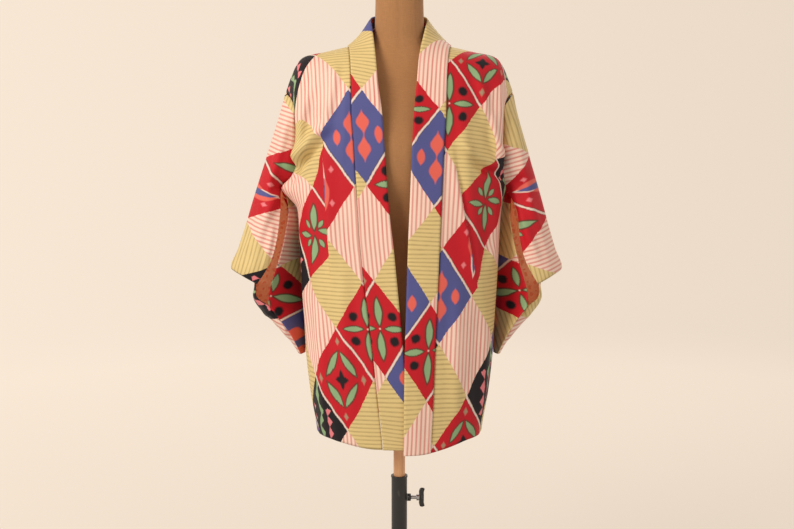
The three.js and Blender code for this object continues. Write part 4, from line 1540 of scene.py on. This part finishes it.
    def gore(self, side: Side) -> None:
        """The narrow wedge between a front and a back, below the armhole."""
        shape = self.shapes[side]
        trim = SEAM_GAP / GORE_WIDTH
        across = even(trim, 1 - trim, 14)[None, :]
        z = even(HEM_Z, GORE_TOP_Z, 90)[:, None]
        front_angle = side_angle(z)
        back_angle = 180 - front_angle
        points = plan_point(BODY_PLAN, BODY_POWER, lerp(front_angle, back_angle, across), z)
        points = points + shape.armhole_shift(z, front_angle) * (1 - across)[..., None]
        points = points + shape.armhole_shift(z, back_angle) * across[..., None]
        over = side.sign * (GORE_LAY + across * GORE_CLOTH)
        flat = self.panel_lays[side].flat(over, (z - HEM_Z) * MM, self.silk.height)
        grid = ClothGrid(shape.mirrored(points), flat, CLOTH_WALL, side.sign)
        is_free = z < GORE_TOP_Z - 60
        grid.raise_by(2.0 * np.sin(across * math.pi) * np.sin((z - HEM_Z) / 70) * is_free)
        piece = grid.build(f"gore_{side.word}_cloth", self.face, self.inside)
        self.dress(piece, grid)

    def sleeve_grid(self, side: Side, around: np.ndarray, rows: np.ndarray) -> ClothGrid:
        """Grid of a sleeve, or of its lining, with its creases.

        Args:
            side: the sleeve's side.
            around: positions round the section.
            rows: positions down the sleeve.

        Returns:
            The grid with its place on the flat cloth and its cuff cut out.
        """
        points = self.shapes[side].sleeve_point(around, rows)
        ends = (SLEEVE_ROWS[0], SLEEVE_ROWS[CUFF_ROW])
        fold = np.array([(row.fold, row.fold_z) for row in ends], dtype=float)
        fold[:, 0] = lerp(VALLEY_X, fold[:, 0], side.reach)
        down = (fold[1] - fold[0]) / np.linalg.norm(fold[1] - fold[0])
        in_plan = np.stack((np.abs(points[..., 0]), points[..., 2]), axis=-1)
        from_top = in_plan - fold[0]
        along_fold = from_top @ down
        in_from_fold = from_top @ np.array((down[1], -down[0]))
        is_back = (around > 2)[None, :]
        over = np.where(is_back, -in_from_fold, in_from_fold)
        flat = self.sleeve_lays[side].flat(along_fold * MM, over * MM, self.silk.height)
        middle_rows, middle_around = (rows[1:] + rows[:-1]) / 2, (around[1:] + around[:-1]) / 2
        curls_high = (middle_around > TURN)[None, :] & (middle_rows < UNDERARM_ROW)[:, None]
        in_cuff = (middle_rows > CUFF_ROW) & (middle_rows < CUFF_ROW + 1)
        cuff = in_cuff[:, None] & (middle_around < CUFF_BACK)[None, :]
        steps_off = np.minimum(around, np.abs(TURN - around))[None, :]
        dip = armhole_dip(points[..., 2], SECTION_STEP * steps_off)
        points[..., 1] += np.where(is_back, -dip, dip)
        past_turn = np.broadcast_to((around - TURN)[None, :], points.shape[:2])
        shift = np.full(points.shape[:2], self.lap_shifts[side])
        marks = np.stack((past_turn * LAP_WIDTH, shift), axis=-1)
        grid = ClothGrid(points, flat, CLOTH_WALL, -side.sign, ~(curls_high | cuff), marks)
        height = relief(SLEEVE_CREASES[side], points[..., 0], points[..., 2])
        near_seam = smooth(rows, 0.2, 1.2)[:, None] * smooth(around, 0.0, 0.35)[None, :]
        near_turn = 1 - smooth(around, 3.4, 3.9)
        grid.raise_by(height * near_seam * near_turn[None, :])
        return grid

    def sleeve_rows(self) -> np.ndarray:
        """Positions down a sleeve, closer than its table's rows."""
        upper = even(0, CUFF_ROW, 64)
        lower = even(CUFF_ROW + 1, len(SLEEVE_ROWS) - 1, 48)
        return np.concatenate((upper, even(CUFF_ROW, CUFF_ROW + 1, 3)[1:-1], lower))

    def sleeve(self, side: Side) -> None:
        """One sleeve: a fold of cloth that hangs to a pouch below the cuff."""
        around = np.round(np.concatenate((even(0, TURN, 56), even(TURN, LAP, 12)[1:])), 6)
        grid = self.sleeve_grid(side, around, self.sleeve_rows())
        piece = grid.build(f"sleeve_{side.word}_cloth", self.sleeve_face)
        self.dress(piece, grid)

    def sleeve_lining(self, side: Side) -> None:
        """The lining, inside the sleeve and short of its edges."""
        rows = self.sleeve_rows()
        rows = rows[(rows > self.lining_top) & (rows < len(SLEEVE_ROWS) - 1)]
        grid = self.sleeve_grid(side, even(*self.lining_reach, 42), rows)
        grid.raise_by(np.full(grid.points.shape[:2], -(CLOTH_WALL + SEAM_GAP)))
        grid.wall = LINING_WALL
        piece = grid.build(f"sleeve_lining_{side.word}_cloth", self.inside)
        self.dress(piece, grid)

    def collar_half(self, side: Side, across: np.ndarray, station: np.ndarray) -> np.ndarray:
        """Points of one half of the collar.

        Args:
            side: the half's side.
            across: 0 at the sewn edge, 1 at the free edge.
            station: 0 at the hem, 1 at the neck point, 2 at the centre back.

        Returns:
            Points, stations by across.
        """
        shape = self.shapes[side]
        low_seam = shape.panel_point(np.full_like(station, NECK_SHARE), np.minimum(station, 1))
        neck_seam = shape.mirrored(top_point(NECK_SHARE * np.clip(2 - station, 0, 1)))
        seam = np.where((station <= 1)[:, None], low_seam, neck_seam)
        free_x = COLLAR_FREE.at(side.word, station) * side.sign
        free_y, free_z = (COLLAR_FREE.at(name, station) for name in ("depth", "z"))
        free = np.stack((free_x, free_y, free_z), axis=-1)
        points = lerp(seam[:, None], free[:, None], across[None, :, None])
        low = 1 - smooth(station, 0.25, 0.42)
        lap = np.zeros((len(station), len(across)))
        if side is Side.LEFT:
            lap = COLLAR_OVERLAP_LIFT * low[:, None] * smooth(across, 0.02, 0.6)[None, :]
        flat_share = smooth(station, 0.8, 1)[:, None]
        points[..., 1] -= (COLLAR_LIFT + lap) * (1 - flat_share)
        points[..., 2] += COLLAR_LIFT * flat_share
        return points

    def collar(self) -> None:
        """The collar band, from hem to hem round the back of the neck."""
        trim = 2 * SEAM_GAP / COLLAR_WIDTH
        across = even(trim, 1, 14)
        half = np.concatenate((even(0, 1, 200), even(1, 2, 60)[1:]))
        right = self.collar_half(Side.RIGHT, across, half)
        left = self.collar_half(Side.LEFT, across, half)
        halves, flats = [], []
        for side, part in ((Side.RIGHT, right), (Side.LEFT, left)):
            steps_up = np.linalg.norm(np.diff(part[:, 0], axis=0), axis=-1)
            up = np.concatenate(([0], np.cumsum(steps_up)))[:, None]
            width = np.linalg.norm(part[:, -1] - part[:, 0], axis=-1)
            lay = self.collar_lays[side]
            sewn = abs(part[int(np.argmin(np.abs(up[:, 0] * MM - lay.v))), 0, 0])
            over = sewn - across[None, :] * width[:, None]
            drop = hem_drop(side, part[..., 0], part[..., 2])
            halves.append(part - drop[..., None] * np.array((0, 0, 1)))
            height = up - drop + COLLAR_EASE * hem_ease(part[..., 2])
            flats.append(lay.flat(side.sign * over * MM, height * MM, self.silk.height))
        points = np.concatenate((halves[0], halves[1][-2::-1]))
        flat = np.concatenate((flats[0], flats[1][-2::-1]))
        grid = ClothGrid(points, flat, COLLAR_WALL, 1)
        stations = np.concatenate((half, 4 - half[-2::-1]))
        roll = np.sin(across * math.pi)[None, :] * np.sin(stations * 9 + 0.7)[:, None]
        edge = np.exp(-(((1 - across) * COLLAR_WIDTH / 2.5) ** 2))[None, :]
        grid.raise_by(COLLAR_WALL + 0.8 * roll - 0.8 * edge)
        piece = grid.build("collar_cloth", self.collar_face)
        self.dress(piece, grid)

    def build(self) -> None:
        """Builds every piece of the jacket."""
        for side in Side:
            self.panel(side)
            self.gore(side)
            self.sleeve(side)
            self.sleeve_lining(side)
        self.collar()


# ---- the dress form and its stand ----
def carry(piece: bpy.types.Object, body: str, slot: str, *nodes: str) -> None:
    """Puts a hard piece on its body, in place of its nodes."""
    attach(piece, body)
    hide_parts(*nodes)
    log.info("%s rides on %s", piece.name, body)


@dataclass
class DressForm:
    """The limbless torso with its neck cap and the flange that it stands on."""

    columns: int = 96
    row_step: float = 6
    degree_width: float = 2.2  # width of one degree of the torso's plan
    seam_width: float = 2.2
    seam_depth: float = 1.1
    seam_degrees: tuple[float, ...] = (0, 42, 90, 138, 180)
    neck_seam_z: float = 1392
    floor_z: float = 742
    flange_bore: float = 12.8
    flange_foot_radius: float = 34
    flange_radius: float = 42
    flange_low_z: float = 725.7

    def torso(self, linen: bpy.types.Material) -> None:
        """The linen-covered torso, with its sewn seams as fine grooves."""
        top = FORM_PLAN.column("z")[-1]
        heights = even(self.floor_z, top, round((top - self.floor_z) / self.row_step))
        degrees = even(0, 360, self.columns)[:-1]
        folded = np.where(degrees <= 180, degrees, 360 - degrees)
        points = plan_point(FORM_PLAN, FORM_POWER, folded[None, :], heights[:, None])
        points[:, degrees > 180, 0] *= -1
        near = np.minimum.reduce([np.abs(folded - seam) for seam in self.seam_degrees])
        groove = np.exp(-((near * self.degree_width / self.seam_width) ** 2))[None, :]
        ring = np.exp(-(((heights - self.neck_seam_z) / self.seam_width) ** 2))[:, None]
        inward = points * np.array((1, 1, 0))
        inward /= np.maximum(np.linalg.norm(inward, axis=-1, keepdims=True), 1)
        points -= inward * (np.maximum(groove, ring) * self.seam_depth)[..., None]
        count = len(degrees)
        index = np.arange(points.shape[0] * count).reshape(-1, count)
        ahead = np.roll(index, -1, axis=1)
        quads = np.stack((index[:-1], ahead[:-1], ahead[1:], index[1:]), axis=-1).reshape(-1, 4)
        mesh = bpy.data.meshes.new("form_torso_linen")
        faces = [*quads.tolist(), index[0, ::-1].tolist(), index[-1].tolist()]
        mesh.from_pydata((points.reshape(-1, 3) * MM).tolist(), [], faces)
        piece = new_object("form_torso_linen", mesh, linen)
        carry(piece, "form", "form_linen", "form_torso")

    def build(self) -> None:
        """Builds the torso, the neck cap and the flange."""
        self.torso(FormLinen().build())
        foot = FORM_PLAN.column("z")[-1] + SEAM_GAP
        rises = ((0, 0), (46, 0), (48, 7), (40, 17), (18, 23.5), (0, 24.7))
        cap = [(radius, foot + rise) for radius, rise in rises]
        carry(turned("neck_cap_wood", softened(cap, 4), Beech().build()), "form", "beech", "neck_cap")
        bore, low, high = self.flange_bore, self.flange_low_z, self.floor_z - SEAM_GAP
        corners = [(bore, low), (self.flange_foot_radius, low), (self.flange_radius, high), (bore, high)]
        flange = softened(corners, 1.5)
        finish = PaintedSteel("black steel flange").build()
        piece = turned("form_flange_ring", [*flange, flange[0]], finish)
        carry(piece, "form", "black_steel", "form_flange")


@dataclass
class PoleStand:
    """The pole, the tube that it slides in, the base, and the clamp that holds it."""

    pole_radius: float = 12.5
    pole_low_z: float = 150
    pole_high_z: float = 741.4
    tube_radius: float = 17
    tube_bore: float = 13.1
    tube_high_z: float = 462
    tube_low_z: float = 20
    tube_floor_z: float = 30
    rim_height: float = 4
    base_radius: float = 170
    base_height: float = 14
    hub_foot_radius: float = 34
    hub_radius: float = 26
    hub_high_z: float = 50
    clamp_z: float = 412
    boss_bore: float = 4.3
    boss_radius: float = 8
    boss_length: float = 8
    screw_radius: float = 4
    head_radius: float = 7
    head_start: float = 20
    screw_length: float = 26

    def pole(self, wood: bpy.types.Material) -> None:
        """The beech pole."""
        r, low, high = self.pole_radius, self.pole_low_z, self.pole_high_z
        profile = softened([(0, low), (r, low), (r, high), (0, high)], 1)
        carry(turned("pole_wood", profile, wood), "pole", "beech", "pole")

    def tube(self, steel: bpy.types.Material) -> None:
        """The black tube with its rolled rim."""
        r, rim, bore = self.tube_radius, self.tube_radius + 1, self.tube_bore
        low, top, floor = self.tube_low_z, self.tube_high_z, self.tube_floor_z
        under_rim = top - self.rim_height
        profile = [
            (0, low), (r, low), (r, under_rim), (rim, under_rim),
            (rim, top), (bore, top), (bore, floor), (0, floor),
        ]
        piece = turned("stand_tube_steel", softened(profile, 0.8), steel)
        carry(piece, "stand", "black_steel", "stand_tube")

    def base(self, steel: bpy.types.Material) -> None:
        """The round base with its hub."""
        outer, h, top = self.base_radius, self.base_height, self.hub_high_z
        bore, floor = self.tube_radius + SEAM_GAP, self.tube_low_z - SEAM_GAP
        profile = [
            (0, 0), (outer - 3, 0), (outer, 3), (outer, h - 5), (outer - 6, h),
            (self.hub_foot_radius, h + 4), (self.hub_radius, top), (bore, top), (bore, floor), (0, floor),
        ]
        piece = turned("stand_base_steel", softened(profile, 2), steel, 128)
        carry(piece, "stand", "black_steel", "stand_base")

    def clamp(self, steel: bpy.types.Material, bright: bpy.types.Material) -> None:
        """The boss, the screw and its wing, turned about the X axis."""
        start = self.tube_radius + SEAM_GAP
        bore, outer, end = self.boss_bore, self.boss_radius, self.boss_length
        sleeve = [(bore, 0), (outer, 0), (outer, end - 1), (outer - 1, end), (bore, end), (bore, 0)]
        boss = turned("clamp_boss_steel", sleeve, steel, 48)
        r, head, start_head, tip = self.screw_radius, self.head_radius, self.head_start, self.screw_length
        shank = [(0, 0), (r, 0), (r, start_head), (head, start_head), (head, tip), (0, tip)]
        screw = turned("clamp_screw_steel", softened(shank, 0.6), bright, 48)
        for piece, body, slot, node in (
            (boss, "stand", "black_steel", "clamp_boss"),
            (screw, "clamp", "bright_steel", "clamp_screw"),
        ):
            x, y, z = np.array([vertex.co for vertex in piece.data.vertices]).T
            laid = np.stack((z + start * MM, y, -x + self.clamp_z * MM), axis=-1)
            piece.data.vertices.foreach_set("co", laid.ravel())
            carry(piece, body, slot, node)
        self.wing(steel, start + self.screw_length + SEAM_GAP + 4)

    def wing(self, steel: bpy.types.Material, x: float) -> None:
        """The two-lobed wing of the clamp screw."""
        lobe = [
            (-4, 5), (-4.9, 12), (-3.6, 18), (-1.5, 20.6), (2, 21.4),
            (5.5, 20.6), (7.6, 19), (5.8, 12), (6, 5),
        ]
        outline = np.array([*lobe, *[(a, -b) for a, b in reversed(lobe)]], dtype=float)
        levels = ((-3, 0.86), (-2.4, 0.96), (-1.2, 1), (1.2, 1), (2.4, 0.96), (3, 0.86))
        centre = outline.mean(axis=0)
        points, faces, count = [], [], len(outline)
        for level, (depth, share) in enumerate(levels):
            for a, b in centre + (outline - centre) * share:
                points.append((x + a, depth, self.clamp_z + b))
            if level:
                low = (level - 1) * count
                for i in range(count):
                    k = (i + 1) % count
                    faces.append((low + i, low + count + i, low + count + k, low + k))
        last = (len(levels) - 1) * count
        faces += [tuple(range(count)), tuple(range(last + count - 1, last - 1, -1))]
        mesh = bpy.data.meshes.new("clamp_wing_steel")
        mesh.from_pydata([tuple(v * MM for v in p) for p in points], [], faces)
        carry(new_object("clamp_wing_steel", mesh, steel), "clamp", "black_steel", "clamp_wing")

    def build(self) -> None:
        """Builds the stand from the floor up."""
        steel = PaintedSteel().build()
        self.base(steel)
        self.tube(steel)
        self.pole(Beech().build())
        self.clamp(steel, BrightSteel().build())


# ---- the studio ----
@dataclass
class Studio:
    """Camera, soft lights and a seamless paper floor and wall."""

    eye: tuple[float, float, float] = (-0.005, -2.21, 1.19)
    tilt: float = 6.9  # degrees below the level
    lens: float = 47.6
    floor_radius: float = 4.4
    wall_radius: float = 5.8
    wall_height: float = 7.0
    sky_tint: Rgb = (1.0, 0.95, 0.89)
    sky_power: float = 0.50

    def camera(self) -> None:
        """The camera, level and a little above the middle of the jacket."""
        data = bpy.data.cameras.new("camera")
        data.lens, data.sensor_width = self.lens, 36
        camera = bpy.data.objects.new("camera", data)
        camera.location = self.eye
        camera.rotation_euler = (math.radians(90 - self.tilt), 0, 0)
        bpy.context.scene.collection.objects.link(camera)
        bpy.context.scene.camera = camera

    def lamp(
        self, name: str, place: tuple[float, float, float], size: float, power: float, tint: Rgb
    ) -> None:
        """One soft square light that looks at the jacket's middle.

        Args:
            name: name of the light.
            place: where it stands, in metres.
            size: length of its side, in metres.
            power: its power in watts.
            tint: its colour.
        """
        data = bpy.data.lights.new(name, "AREA")
        data.size, data.energy, data.color = size, power, tint
        lamp = bpy.data.objects.new(name, data)
        lamp.location = place
        aim = np.array((0, 0, 1.0)) - np.array(place)
        flat = math.hypot(aim[0], aim[1])
        lamp.rotation_euler = (math.atan2(flat, -aim[2]), 0, math.atan2(-aim[0], aim[1]))
        lamp.visible_camera = False
        bpy.context.scene.collection.objects.link(lamp)

    def paper(self) -> None:
        """The floor, which curves up into a wall all round."""
        corner = self.wall_radius - self.floor_radius
        curve = [
            (self.floor_radius + corner * math.sin(a), corner * (1 - math.cos(a)))
            for a in even(0, math.pi / 2, 16)
        ]
        metres = [(0, 0), (self.floor_radius / 2, 0), *curve, (self.wall_radius, self.wall_height)]
        profile = [(r / MM, (z - 0.0005) / MM) for r, z in metres]
        paper = turned("studio_paper", profile, StudioPaper().build(), 96)
        paper.visible_diffuse = False
        paper.visible_shadow = False

    def build(self) -> None:
        """Sets up the camera, the lights and the paper."""
        self.camera()
        world = bpy.data.worlds.new("studio")
        world.use_nodes = True
        sky = world.node_tree.nodes["Background"]
        sky.inputs["Color"].default_value = (*self.sky_tint, 1)
        sky.inputs["Strength"].default_value = self.sky_power
        bpy.context.scene.world = world
        self.lamp("key", (-2.4, -2.2, 2.6), 1.5, 88, (1.0, 0.96, 0.90))
        self.lamp("fill", (2.6, -2.2, 1.6), 2.4, 16, (1.0, 0.94, 0.88))
        self.lamp("back", (0.6, 2.6, 2.8), 2.0, 30, (1.0, 0.96, 0.92))
        self.paper()
        bpy.context.scene.view_settings.view_transform = "Standard"


def main() -> None:
    """Builds the studio, the stand, the dress form and the jacket."""
    logging.basicConfig(level=logging.INFO, format="%(name)s: %(message)s")
    Studio().build()
    PoleStand().build()
    DressForm().build()
    Haori().build()


if __name__ == "__main__":
    main()
